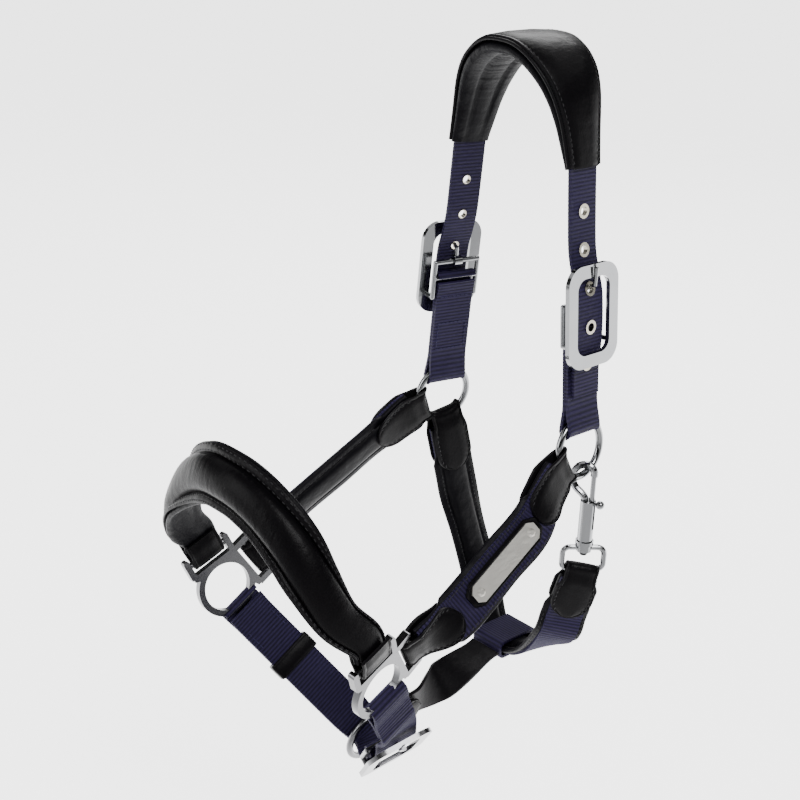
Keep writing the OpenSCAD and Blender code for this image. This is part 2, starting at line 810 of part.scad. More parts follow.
module noseband_end(s) {
    color("#1c1a1c")
        set_frame(bar_point(s, 1), bar_out(s, 1), bar_axis(s, 1))
            rotate([90, 0, 0])
                linear_extrude(nose_end_w, center = true)
                    tab_edge(nose_tab_l, 0);
}
module noseband_end_near() { noseband_end(1); }
module noseband_end_off() { noseband_end(-1); }

// ---------------------------------------------------------------- chin

// Where the chin strap folds round the lower rear of a fitting's hole.
function rim_dir(s) = -0.75 * fit_x(s) - 0.66 * fit_y(s);
function rim_along(s) = 0.66 * fit_x(s) - 0.75 * fit_y(s);
function rim_point(s) = mirror_y(fitting_at, s) + rim_r * unit(rim_dir(s));
// Direction across a strap that leaves the rim along a direction.
function rim_across(s, t) = unit(rim_along(s) - (rim_along(s) * t) * t);

off_leg_dir = unit(chin_ring_at - rim_point(-1));
off_leg_across = rim_across(-1, off_leg_dir);
near_knee = [153, 75, -422];
near_leg_dir = unit(near_knee - rim_point(1));
near_leg_across = rim_across(1, near_leg_dir);

buckle_z = unit(chin_buckle_up);
buckle_x = unit([1, 0, 0] - buckle_z.x * buckle_z);
buckle_y = cross(buckle_z, buckle_x);

// The frame of the chin buckle, laid out like a hanging strap's.
module on_chin_buckle() {
    set_frame(chin_buckle_at, buckle_x, buckle_y)
        children();
}
function chin_buckle_point(x, y, z) = chin_buckle_at + x * buckle_x + y * buckle_y + z * buckle_z;

// The rim of a fitting with room round it, to cut out of a strap.
module rim_room(s) {
    set_frame(mirror_y(fitting_at, s), fit_x(s), fit_y(s))
        difference() {
            cylinder(r = rim_r + fitting_band / 2 + 0.3, h = fitting_t + 0.6, center = true);
            cylinder(d = fitting_hole - 0.6, h = 2 * fitting_t, center = true);
        }
}

// A strap end folded over a fitting's rim and lying double after it.
module rim_loop(s, along, across, length) {
    difference() {
        set_frame(rim_point(s), along, cross(across, along))
            linear_extrude(web_w, center = true)
                difference() {
                    union() {
                        circle(r = 3.4 + web_t);
                        polygon([[0, 3.4 + web_t], [14, web_t], [length, web_t],
                                 [length, -web_t], [14, -web_t], [0, -3.4 - web_t]]);
                    }
                    circle(r = 3.4);
                }
        rim_room(s);
    }
}

chin_path = [rim_point(-1) + 24 * off_leg_dir, rim_point(-1) + 50 * off_leg_dir,
             rim_point(-1) + 80 * off_leg_dir, rim_point(-1) + 108 * off_leg_dir,
             [118, 0, -469], chin_buckle_point(0, inner_bar_n, -42),
             chin_buckle_point(0, inner_bar_n, -30), chin_buckle_point(0, inner_bar_n, -20)];
chin_across = [off_leg_across, off_leg_across, off_leg_across, off_leg_across,
               [0.95, 0, -0.2], buckle_x, buckle_x, buckle_x];
chin_frames = band_frames(smooth(chin_path), smooth(chin_across));
// The strap is gathered where it runs through the ring.
chin_widths = smooth([web_w, web_w, web_w, web_w - 1, web_w - 4, web_w - 1, web_w, web_w]);

module chin_strap() {
    color("#2a2852") {
        rim_loop(-1, off_leg_dir, off_leg_across, 24.5);
        loft(chin_frames, [for (w = chin_widths) flat(w, -web_t, web_t)]);
        on_chin_buckle()
            set_frame([0, inner_bar_n, buckle_at - billet_bar_at], [0, 0, -1], [0, 1, 0])
                linear_extrude(web_w, center = true)
                    difference() {
                        union() {
                            circle(r = bar_r + 0.15 + web_t);
                            polygon([[0, bar_r + 0.15 + web_t], [8, web_t], [15.5, web_t],
                                     [15.5, -web_t], [8, -web_t], [0, -bar_r - 0.15 - web_t]]);
                        }
                        circle(r = bar_r + 0.15);
                    }
    }
}

chin_billet_path = [rim_point(1) + 20 * near_leg_dir, rim_point(1) + 30 * near_leg_dir,
                    chin_buckle_point(0, 2.4, 30), chin_buckle_point(0, 5.6, 17),
                    chin_buckle_point(0, 7, 5), chin_buckle_point(0, 7, -9),
                    chin_buckle_point(0, 6, -23), chin_buckle_point(0, 4.4, -37)];
chin_billet_across = [near_leg_across, near_leg_across, buckle_x, buckle_x,
                      buckle_x, buckle_x, buckle_x, buckle_x];
chin_billet_frames = band_frames(smooth(chin_billet_path), smooth(chin_billet_across));

module chin_billet() {
    color("#2a2852")
        difference() {
            union() {
                rim_loop(1, near_leg_dir, near_leg_across, 20.5);
                loft(chin_billet_frames,
                    [for (f = chin_billet_frames) flat(web_w, -web_t / 2, web_t / 2)]);
            }
            on_chin_buckle()
                translate([0, 6, buckle_at - eyelet_down(2)])
                    rotate([90, 0, 0])
                        cylinder(r = eyelet_r, h = 4 * web_t, center = true);
        }
}

module chin_buckle() {
    color("#c9ccd0")
        on_chin_buckle()
            buckle(buckle_at);
}

module chin_tongue() {
    color("#c9ccd0")
        on_chin_buckle()
            tongue(buckle_at);
}

module chin_keeper() {
    in_t = web_t + slack;
    color("#141315")
        set_frame(rim_point(-1) + keeper_at * off_leg_dir, off_leg_across,
                  cross(off_leg_across, off_leg_dir))
            linear_extrude(keeper_l, center = true)
                difference() {
                    rounded(web_w + 2 * slack + 2 * hide_t, 2 * in_t + 2 * hide_t, 1.2);
                    square([web_w + 2 * slack, 2 * in_t], center = true);
                }
}

module chin_ring() {
    z = unit(chin_ring_axis);
    x = unit([1, 0, 0] - z.x * z);
    color("#c9ccd0")
        set_frame(chin_ring_at, x, cross(z, x))
            hoop(chin_ring_r, chin_ring_bar / 2);
}

// ----------------------------------------------------------- jaw strap

jaw_end = throat_low + [24.2, 0, -3];
jaw_start = chin_ring_at
            + chin_ring_r * square_to(jaw_end - chin_ring_at, unit(chin_ring_axis));
jaw_dir = unit(jaw_end - jaw_start);
jaw_points = [jaw_start + 9 * jaw_dir, jaw_start + 18 * jaw_dir, jaw_start + 27 * jaw_dir,
              jaw_start + 42 * jaw_dir, jaw_start + 56 * jaw_dir, jaw_end - 8 * jaw_dir, jaw_end];
jaw_across = [[0, 0.24, 0.97], [0, 0.24, 0.97], [0, 0.24, 0.97], [0, -0.25, 0.97],
              [0, -0.8, 0.6], [0, -1, 0], [0, -1, 0]];
jaw_frames = band_frames(smooth(jaw_points), smooth(jaw_across));

module jaw_strap() {
    color("#1c1a1c")
        loft(jaw_frames, [for (f = jaw_frames)
            [[-jaw_w / 2, -2], [jaw_w / 2, -2], [jaw_w / 2, 1], [jaw_w * 0.25, 1.6],
             [jaw_w * 0.14, 4], [-jaw_w * 0.14, 4], [-jaw_w * 0.25, 1.6], [-jaw_w / 2, 1]]]);
}

module jaw_tab() {
    color("#1c1a1c")
        set_frame(jaw_start, jaw_dir, square_to([0, 0.24, 0.97], jaw_dir))
            tab(24, jaw_w - 4, jaw_tab_w, jaw_tab_back);
}

// The webbing loop at the end of the jaw strap that the throat lash runs
// through.
module jaw_loop() {
    room_w = backing_w + 6;
    room_t = 2 * tab_in + 2.6;
    color("#2a2852")
        set_frame(throat_low, [1, 0, 0], [0, 0, 1])
            linear_extrude(jaw_w, center = true)
                difference() {
                    rounded(room_w + 2 * web_t, room_t + 2 * web_t, 3);
                    rounded(room_w, room_t, 2);
                }
}

// --------------------------------------------------------- throat lash

throat_top = ring_point(-1, [-0.2, 0, -1]);
throat_dir_off = unit(throat_top - ring_centre(-1) + [0, 3, 0]);
throat_off_y = square_to(hang_vector(-1, -1, 0, 0), throat_dir_off);

eye_bar = snap_at + [0, 0, -eye_drop];
eye_x = [cos(eye_turn), sin(eye_turn), 0];
throat_dir_near = unit([2, -12, -44]);
throat_near_y = square_to(eye_x, throat_dir_near);

throat_points = concat(
    [for (d = [9, 27, 46, 66]) throat_top + d * throat_dir_off],
    [[-27, -56.5, -369], [-30, -48, -395], [-27, -33, -420], throat_low + [-1, -14, 0.4],
     throat_low + [1, 14, 0.4], [-13, 38, -427]],
    [for (d = [60, 42, 26, 9]) eye_bar + d * throat_dir_near]);
throat_across = [throat_off_y, throat_off_y, throat_off_y, throat_off_y, [0.97, 0, -0.22],
                 [0.98, 0, -0.15], [1, 0, -0.1], [1, 0, 0], [1, 0, 0], [0.95, -0.25, 0],
                 throat_near_y, throat_near_y, throat_near_y, throat_near_y];
throat_frames = band_frames(smooth(throat_points), smooth(throat_across));
throat_n = len(throat_frames) - 1;
// The lash is narrow where it goes into the end tabs.
function throat_width(i, w) = min(w, web_w - 2 + 0.9 * max(0, min(i - 10, throat_n - 10 - i)));

// The padded leather is on the inside of the lash, the webbing outside.
module throat_backing() {
    color("#1c1a1c")
        loft(throat_frames, [for (i = [0:throat_n])
            flat(throat_width(i, backing_w), -tab_in + web_t + 0.9, tab_in - 0.5, 2)]);
}

module throat_webbing() {
    color("#2a2852")
        loft(throat_frames, [for (i = [0:throat_n])
            flat(web_w - 2, -tab_in + 0.4, -tab_in + web_t + 0.4, 2)]);
}

module throat_off_tab() {
    color("#1c1a1c")
        set_frame(throat_top, throat_dir_off, throat_off_y)
            tab(tab_l, web_w, ring_tab_w, ring_tab_back);
}

module throat_near_tab() {
    color("#1c1a1c")
        set_frame(eye_bar, throat_dir_near, throat_near_y)
            tab(40, web_w, eye_w - 4 * eye_r - 4, 0);
}

// ---------------------------------------------------------------- snap

module at_snap(turn) {
    translate(snap_at)
        rotate([0, 0, turn])
            children();
}

// The eye the throat lash is sewn to: one wire bent round a rectangle, its
// ends in the boss of the swivel.
module snap_eye() {
    half = eye_w / 2 - eye_r;
    near = half - eye_corner;
    corner = [for (a = [90:-15:0]) eye_corner * [cos(a), sin(a)]];
    upper = [for (c = corner) [near + c.x, c.y - eye_corner]];
    lower = [for (i = [len(corner) - 1:-1:0])
        [near + corner[i].x, eye_corner - eye_drop - corner[i].y]];
    right = concat([[2, 0]], upper, lower);
    line = concat(right, [for (i = [len(right) - 1:-1:0]) [-right[i].x, right[i].y]]);
    frames = band_frames([for (q = line) [q.x, 0, q.y]], [for (q = line) [0, 1, 0]]);
    color("#c9ccd0")
        at_snap(eye_turn)
            difference() {
                union() {
                    loft(frames, [for (f = frames) round_section(eye_r)]);
                    cylinder(r = 5.2, h = 2 * eye_r + 0.6, center = true);
                }
                cylinder(r = pivot_r + slack, h = 20, center = true);
            }
}

// The barrel, its collar and the rivet that holds it in the eye.
module snap_barrel() {
    rivet = eye_r + 0.7;
    color("#c9ccd0")
        at_snap(snap_turn)
            difference() {
                union() {
                    translate([0, 0, barrel_foot])
                        cylinder(r = 6.3, h = 3);
                    translate([0, 0, barrel_foot])
                        cylinder(r = barrel_r, h = barrel_l);
                    translate([0, 0, -rivet - 2])
                        cylinder(r = pivot_r, h = rivet + 2 + barrel_foot + 1);
                    translate([0, 0, -rivet - 2.6])
                        cylinder(r1 = 2.5, r2 = 4, h = 2.6);
                }
                translate([0, gate_y, barrel_foot + 10])
                    cylinder(r = gate_r + slack, h = barrel_l);
                translate([-1.7, gate_y, barrel_foot + 12])
                    cube([3.4, barrel_r + 2, barrel_l]);
            }
}

// The hook: out from the top of the barrel and over to the gate.
module snap_hook() {
    line = smooth(hook_line, 3);
    frames = band_frames([for (q = line) [0, q.x, barrel_top + q.y]],
                         [for (q = line) [1, 0, 0]]);
    color("#c9ccd0")
        at_snap(snap_turn)
            loft(frames, [for (f = frames) round_section(hook_wire)]);
}

// The sliding gate with its thumb stud.
module snap_gate() {
    stud_z = barrel_top - 1.5;
    color("#c9ccd0")
        at_snap(snap_turn) {
            translate([0, gate_y, barrel_top - 7])
                cylinder(r = gate_r, h = gate_l);
            rod([0, gate_y, stud_z], [0, barrel_r + 2.5, stud_z], 1.2);
            translate([0, barrel_r + 3.4, stud_z])
                sphere(r = 3);
        }
}

// ---------------------------------------------------------------- nodes

/* [View] */
// Part to show

crown_outer();
crown_padding();
crown_webbing();
crown_eyelets();
cheek_buckle_near();
cheek_buckle_off();
cheek_tongue_near();
cheek_tongue_off();
billet_near();
billet_off();
upper_ring_near();
upper_ring_off();
nose_fitting_near();
nose_fitting_off();
cheek_backing_near();
cheek_backing_off();
cheek_webbing_near();
cheek_webbing_off();
cheek_rear_tab_near();
cheek_rear_tab_off();
cheek_front_tab_near();
cheek_front_tab_off();
nameplate_patch();
nameplate();
nameplate_rivets();
noseband_lining();
noseband_roll();
noseband_end_near();
noseband_end_off();
chin_strap();
chin_billet();
chin_buckle();
chin_tongue();
chin_keeper();
chin_ring();
jaw_strap();
jaw_tab();
jaw_loop();
throat_backing();
throat_webbing();
throat_off_tab();
throat_near_tab();
snap_eye();
snap_barrel();
snap_hook();
snap_gate();
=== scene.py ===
"""Looks of a padded headcollar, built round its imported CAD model.

Lengths are written in millimetres and turned into metres when a mesh is made.  The soft pieces
follow the same routes as the solids in part.scad, so its names and sizes are used here too.
"""

import math

import bmesh
import bpy
import numpy as np
from mathutils import Matrix, Vector


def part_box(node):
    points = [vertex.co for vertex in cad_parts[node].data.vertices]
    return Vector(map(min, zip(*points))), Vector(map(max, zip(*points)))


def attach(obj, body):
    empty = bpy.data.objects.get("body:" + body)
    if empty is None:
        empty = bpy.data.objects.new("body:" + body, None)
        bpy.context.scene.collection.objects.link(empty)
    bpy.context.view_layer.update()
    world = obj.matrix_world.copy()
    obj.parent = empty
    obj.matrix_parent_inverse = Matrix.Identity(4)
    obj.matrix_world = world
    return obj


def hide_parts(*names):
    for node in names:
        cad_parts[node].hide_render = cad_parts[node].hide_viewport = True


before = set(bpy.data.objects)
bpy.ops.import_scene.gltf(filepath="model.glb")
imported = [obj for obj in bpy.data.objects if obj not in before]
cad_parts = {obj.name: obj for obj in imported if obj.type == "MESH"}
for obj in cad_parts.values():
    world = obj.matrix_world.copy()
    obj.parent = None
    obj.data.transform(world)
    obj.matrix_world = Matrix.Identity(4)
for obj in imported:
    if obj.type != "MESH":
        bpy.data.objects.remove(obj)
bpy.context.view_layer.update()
rng = np.random.default_rng(7)
MM = 0.001
TAU = 2 * math.pi


# ------------------------------------------------------------------ sizes

CROWN_WEB_W = 25
WEB_W = 30
WEB_T = 2.4
HIDE_T = 2
BACKING_W = 34
RIB = 2.5

CROWN_W = 56
CROWN_END_W = 28
CROWN_PAD_T = 7
END_Y = 56
OFF_END_Y = 52
END_Z = -68
LEAN = math.radians(5.5)
OFF_TURN = 12

EYELET_PITCH = 25
EYELET_FIRST = 28
EYELET_COUNT = 5
EYELET_R = 2.9

BAR_R = 1.75
RING_R = 20.5
WIRE_R = 2.5
CHIN_RING_R = 19.5
FITTING_HOLE = 34
FITTING_BAND = 4.5
FITTING_EDGE = 33
RIM_R = (FITTING_HOLE + FITTING_BAND) / 2
BAR_OFF = 9.5
TAB_IN = 4.3
TAB_L = 44
RING_TAB_W = 26
PLATE_L = 65

HANG_RING = {1: 188, -1: 192}
BUCKLE_AT = 95
BILLET_BAR_AT = 100

NOSE_W = 38
NOSE_END_W = 25
NOSE_PAD_T = 6
NOSE_ROLL_T = 8
NOSE_ROLL_W = 24
JAW_W = 28

BAR_GAP = 0.15
RING_GAP = 0.3
LAYER_H = WEB_T / 2 + 0.05  # from the middle of doubled webbing to the middle of a layer
FOLD_REACH = 14
CHIN_FOLD_R = 3.4 + WEB_T / 2
LOOP_HALF = 12
CROWN_CORNER_R = 3
WEB_STITCH_X = 11.5
PAD_STITCH_X = 12.2
CROSS_PITCH = 3.4

FITTING_AT = (183, 80, -363)
CHIN_RING_AT = (116, 0, -470)
CHIN_GATHER_AT = (118, 0, -469)
CHIN_BUCKLE_AT = (137, 41, -444)
CHIN_BUCKLE_UP = (0.38, 0.6, 0.71)
NEAR_KNEE = (153, 75, -422)
THROAT_LOW = (-18, 0, -441)
SNAP_TURN = math.radians(20)
EYE_TURN = math.radians(-40)
EYE_DROP = 17
BARREL_TOP = 2.8 + 33
HOOK_SEAT = (-4.2, 19.7)

SIDES = ((1, "near"), (-1, "off"))

# The stage, in metres.
FLOOR_SIZE = 40
FLOOR_Z = -0.62
FLOOR_GLOW = 3.0  # strength behind the object, fading to almost none at x + y = GLOW_END
GLOW_END = 0.45
LIGHT_AIM = (0.08, 0, -0.23)
LIGHTS = [("key", (0.5, 1.5, 1.5), (1.0, 1.0), 38),
          ("fill", (1.9, -0.6, 0.4), (1.2, 1.2), 18),
          ("rim", (-1.2, -0.9, 1.2), (0.9, 1.4), 26)]
SKY_BANDS = [(0.08, 1), (0.12, 0.02), (0.5, 0.02), (0.56, 1), (0.72, 1), (0.78, 0.02)]
CAMERA_AT = (0.6816, 0.6274, 0.1208)
CAMERA_RIGHT = (-0.7428, 0.6685, 0.0362)
CAMERA_BACK = (0.6315, 0.6816, 0.3695)
CAMERA_LENS = 63.6


# ---------------------------------------------------------------- vectors

def vec(*v):
    return np.array(v[0] if len(v) == 1 else v, float)


def unit(v):
    v = vec(v)
    return v / np.linalg.norm(v)


def unit_rows(v):
    return v / np.linalg.norm(v, axis=1)[:, None]


def square_to(v, t):
    """The part of v at right angles to t, one long."""
    return unit(v - np.dot(v, t) * t)


def mirror_y(v, s):
    return vec(v[0], s * v[1], v[2])


def ease(k):
    """Slow, fast, slow from 0 to 1."""
    k = np.clip(k, 0, 1)
    return k * k * (3 - 2 * k)


def spline(rows, steps=12):
    """A smooth curve through rows of numbers, with some steps to each span."""
    v = np.array(rows, float)
    v = v[:, None] if v.ndim == 1 else v
    n = len(v) - 1
    t = (np.arange(steps) / steps)[:, None]
    out = []
    for i in range(n):
        a, b = v[max(i - 1, 0)], v[i]
        c, d = v[min(i + 1, n)], v[min(i + 2, n)]
        out.append((2 * b + (c - a) * t + (2 * a - 5 * b + 4 * c - d) * t**2
                    + (3 * b - a - 3 * c + d) * t**3) / 2)
    return np.vstack(out + [v[-1:]])


class Band:
    """The middle line of a strap, with the directions across it and out of it along the way."""

    def __init__(self, points, across, step=1.0, smooth=True):
        p = spline(points) if smooth else np.array(points, float)
        w = spline(across) if smooth else np.array(across, float)
        s = np.concatenate([[0], np.cumsum(np.linalg.norm(np.diff(p, axis=0), axis=1))])
        self.length = s[-1]
        self.s = np.linspace(0, self.length, max(3, round(self.length / step) + 1))
        self.p = np.column_stack([np.interp(self.s, s, c) for c in p.T])
        w = np.column_stack([np.interp(self.s, s, c) for c in w.T])
        self.t = unit_rows(np.gradient(self.p, axis=0))
        self.w = unit_rows(w - np.sum(w * self.t, axis=1)[:, None] * self.t)
        self.o = np.cross(self.w, self.t)

    def at(self, s):
        """Points and directions at distances along, going straight on past the ends."""
        s = np.atleast_1d(np.array(s, float))
        c = np.clip(s, 0, self.length)
        p, t, w, o = (np.column_stack([np.interp(c, self.s, k) for k in a.T])
                      for a in (self.p, self.t, self.w, self.o))
        return p + (s - c)[:, None] * t, unit_rows(t), unit_rows(w), unit_rows(o)

    def point(self, s, x=0.0, h=0.0):
        p, _, w, o = self.at(s)
        return p + x * w + h * o

    def reversed(self):
        return Band(self.p[::-1], -self.w[::-1], smooth=False)

    def turned_over(self):
        """The same route walked backwards, so that outwards becomes inwards."""
        return Band(self.p[::-1], self.w[::-1], smooth=False)

    def stations(self, step, start=0.0, end=None):
        end = self.length if end is None else end
        return np.linspace(start, end, max(2, round((end - start) / step) + 1))


def fold_round(band, reach, h, r, back=0.0):
    """The route of a strip that comes along the outside of a band to its start, goes round a bar
    there and runs back along the inside.  Its own outward direction is out of the fold."""
    out_s = band.stations(1.0, 1.0 - back, reach)[::-1]
    centre, t, w, o = (a[0] for a in band.at([-back]))
    heights = r + (h - r) * ease(out_s / 10)
    middle, _, w_out, o_out = band.at(out_s)
    outer = middle + heights[:, None] * o_out
    inner = (middle - heights[:, None] * o_out)[::-1]
    angles = np.radians(np.arange(100, 261, 10))
    arc = np.array([centre + r * (math.cos(a) * t + math.sin(a) * o) for a in angles])
    points = np.vstack([outer, arc, inner])
    across = -np.vstack([w_out, np.repeat([w], len(arc), axis=0), w_out[::-1]])
    return Band(points, across, step=0.6, smooth=False)


# ----------------------------------------------------------------- layout

def hang_point(s, x, n, d):
    """A point on a hanging strap, from its place across, outwards and down."""
    y = n * math.cos(LEAN) + d * math.sin(LEAN)
    z = n * math.sin(LEAN) - d * math.cos(LEAN)
    a = 0 if s > 0 else math.radians(180 - OFF_TURN)
    end_y = (END_Y if s > 0 else OFF_END_Y) - HIDE_T - 0.2 - WEB_T / 2
    return vec(x * math.cos(a) - y * math.sin(a),
               s * end_y + x * math.sin(a) + y * math.cos(a), END_Z + z)


def hang_vector(s, x, n, d):
    return hang_point(s, x, n, d) - hang_point(s, 0, 0, 0)


def fitting_axes(s):
    """Forwards and up in the plane of a nose fitting."""
    flare, tip, lean = (math.radians(a) for a in (8, 10, 16))
    x = vec(math.cos(flare), s * math.sin(flare), 0)
    y = square_to(vec(0, s * math.sin(tip), math.cos(tip)), x)
    return (math.cos(lean) * x + math.sin(lean) * y, math.cos(lean) * y - math.sin(lean) * x)


SLOPE = math.radians(40)
EDGE_TOP = RIM_R / math.cos(SLOPE)


def bar(s, side):
    """Middle, direction and outward direction of a fitting's bar, for nose (1) or cheek (-1)."""
    x, y = fitting_axes(s)
    along = side * math.cos(SLOPE) * x - math.sin(SLOPE) * y
    out = side * math.sin(SLOPE) * x + math.cos(SLOPE) * y
    top = mirror_y(FITTING_AT, s) + EDGE_TOP * y
    return top + along * FITTING_EDGE / 2 + out * BAR_OFF, along, out


def ring_centre(s):
    return hang_point(s, 0, 0, HANG_RING[s])


def ring_point(s, direction):
    n = hang_vector(s, 0, 1, 0)
    return ring_centre(s) + RING_R * square_to(vec(direction), n)


def both_sides(half, reach=1.0):
    return [mirror_y(p, -reach) for p in half[:0:-1]] + [vec(p) for p in half]


def both_values(half):
    return list(half[:0:-1]) + list(half)


CROWN_HALF = [(0, 0, 8.5), (0, 12, 7.5), (0, 22, 3.5), (0, 31, -3), (0, 39, -12),
              (0, 45, -23), (0, 49, -35), (0, 52, -48), (0, END_Y, END_Z)]
CROWN_WIDTHS = [CROWN_W, CROWN_W, CROWN_W - 2, CROWN_W - 6, CROWN_W - 12,
                CROWN_W - 18, CROWN_W - 23, CROWN_W - 26, CROWN_END_W]
CROWN_PADS = [1, 1, 1, 0.95, 0.9, 0.8, 0.65, 0.45, 0.2]
CROWN_WEB_PATH = [(-2, 0), (30, 0), (52, 0.5), (66, 3), (79, 6.2), (90, 7), (104, 7),
                  (118, 6), (132, 4.4), (150, 4.2)]


def crown_band():
    points = both_sides(CROWN_HALF, OFF_END_Y / END_Y)
    turns = [math.radians(OFF_TURN * max(1 - i / 8, 0) ** 2) for i in range(17)]
    return Band(points, [(math.cos(a), -math.sin(a), 0) for a in turns])


def along_profile(band, values):
    """A smooth function of the distance along a band through evenly given values."""
    curve = spline(values)[:, 0]
    return lambda s: np.interp(s, np.linspace(0, band.length, len(curve)), curve)


def tail_band(s):
    return Band([hang_point(s, 0, n, d) for d, n in CROWN_WEB_PATH],
                [s * hang_vector(s, 1, 0, 0)] * len(CROWN_WEB_PATH))


def cheek_band(s):
    bow = vec(-1, 6, -7) if s > 0 else vec(0, -8, 2)
    roll = math.radians(32 if s > 0 else 20)
    end, bar_dir, bar_out = bar(s, -1)
    centre = ring_centre(s)

    def between(t):
        return centre * (1 - t) + end * t + bow

    start = ring_point(s, (0.87, 0, -0.49) if s > 0 else (0.92, 0, -0.39))
    out = unit(start - centre)
    back = unit(unit(end - between(0.78)) - 1.5 * bar_out)
    at_ring = np.cross(hang_vector(s, 0, 1, 0), out)
    at_ring = square_to(at_ring * np.sign(at_ring[2]), out)
    at_bar = square_to(-bar_dir, back)
    x = unit(end - centre)
    y = square_to(at_ring + at_bar, x)
    middle = math.cos(roll) * y + s * math.sin(roll) * np.cross(x, y)
    points = [start, start + 13 * out, between(0.34), between(0.52), between(0.78),
              end - 13 * back, end]
    band = Band(points, [at_ring, at_ring, middle, middle, middle, at_bar, at_bar])
    return band if s > 0 else band.turned_over()


def nose_band():
    b, along, out = bar(1, 1)
    half = [(240, 0, -237), (239, 18, -239), (236, 36, -247), (232, 54, -261), (227, 68, -279),
            (217, 80, -303), b + out * 20 + vec(0, -3, 0), b + out * 9]
    across = [(0.3, 0, -0.95), (0.3, 0, -0.95), (0.32, 0, -0.95), (0.45, 0, -0.9),
              (0.65, 0, -0.75), (0.85, 0, -0.5), along, along]
    return Band(both_sides(half), both_sides(across))


def rim(s):
    """Where the chin strap folds over a fitting, and the direction of the rim there."""
    x, y = fitting_axes(s)
    return mirror_y(FITTING_AT, s) - RIM_R * unit(0.75 * x + 0.66 * y), 0.66 * x - 0.75 * y


BUCKLE_Z = unit(CHIN_BUCKLE_UP)
BUCKLE_X = square_to(vec(1, 0, 0), BUCKLE_Z)
BUCKLE_Y = np.cross(BUCKLE_Z, BUCKLE_X)


def chin_buckle_point(x, y, z):
    return vec(CHIN_BUCKLE_AT) + x * BUCKLE_X + y * BUCKLE_Y + z * BUCKLE_Z


def chin_band():
    start, along = rim(-1)
    d = unit(vec(CHIN_RING_AT) - start)
    w = square_to(along, d)
    points = [start + k * d for k in (0, 24, 50, 80, 108)]
    points += [CHIN_GATHER_AT] + [chin_buckle_point(0, 0, z) for z in (-42, -30, -20, -5)]
    return Band(points, [w] * 5 + [(0.95, 0, -0.2)] + [BUCKLE_X] * 4)


def chin_billet_band():
    start, along = rim(1)
    d = unit(vec(NEAR_KNEE) - start)
    w = square_to(along, d)
    run = [(2.4, 30), (5.6, 17), (7, 5), (7, -9), (6, -23), (4.4, -37)]
    points = [start, start + 20 * d, start + 30 * d]
    points += [chin_buckle_point(0, y, z) for y, z in run]
    return Band(points, [w] * 3 + [BUCKLE_X] * 6)


def jaw_band():
    centre, axis = vec(CHIN_RING_AT), unit((-0.03, 0.97, -0.24))
    end = vec(THROAT_LOW) + vec(24.2, 0, -3)
    start = centre + CHIN_RING_R * square_to(end - centre, axis)
    d = unit(end - start)
    points = [start + k * d for k in (0, 9, 18, 27, 42, 56)] + [end - 8 * d, end + 4 * d]
    across = [(0, 0.24, 0.97)] * 4 + [(0, -0.25, 0.97), (0, -0.8, 0.6), (0, -1, 0), (0, -1, 0)]
    return Band(points, across)


def snap_place():
    """The middle of the top bar of the snap's eye."""
    across, up = HOOK_SEAT
    hook = vec(-math.sin(SNAP_TURN) * across, math.cos(SNAP_TURN) * across, BARREL_TOP + up)
    return ring_point(1, (-0.3, 0, -1)) - hook


def throat_band():
    top = ring_point(-1, (-0.2, 0, -1))
    bottom = snap_place() - vec(0, 0, EYE_DROP)
    off = unit(top - ring_centre(-1) + vec(0, 3, 0))
    near = unit((2, -12, -44))
    w_off = square_to(hang_vector(-1, -1, 0, 0), off)
    w_near = square_to(vec(math.cos(EYE_TURN), math.sin(EYE_TURN), 0), near)
    low = vec(THROAT_LOW)
    points = [top + k * off for k in (0, 9, 27, 46, 66)]
    points += [(-27, -56.5, -369), (-30, -48, -395), (-27, -33, -420), low + vec(-1, -14, 0.4),
               low + vec(1, 14, 0.4), (-13, 38, -427)]
    points += [bottom + k * near for k in (60, 42, 26, 9, 0)]
    across = [w_off] * 5 + [(0.97, 0, -0.22), (0.98, 0, -0.15), (1, 0, -0.1), (1, 0, 0),
                            (1, 0, 0), (0.95, -0.25, 0)]
    return Band(points, across + [w_near] * 5)


# -------------------------------------------------------------- materials

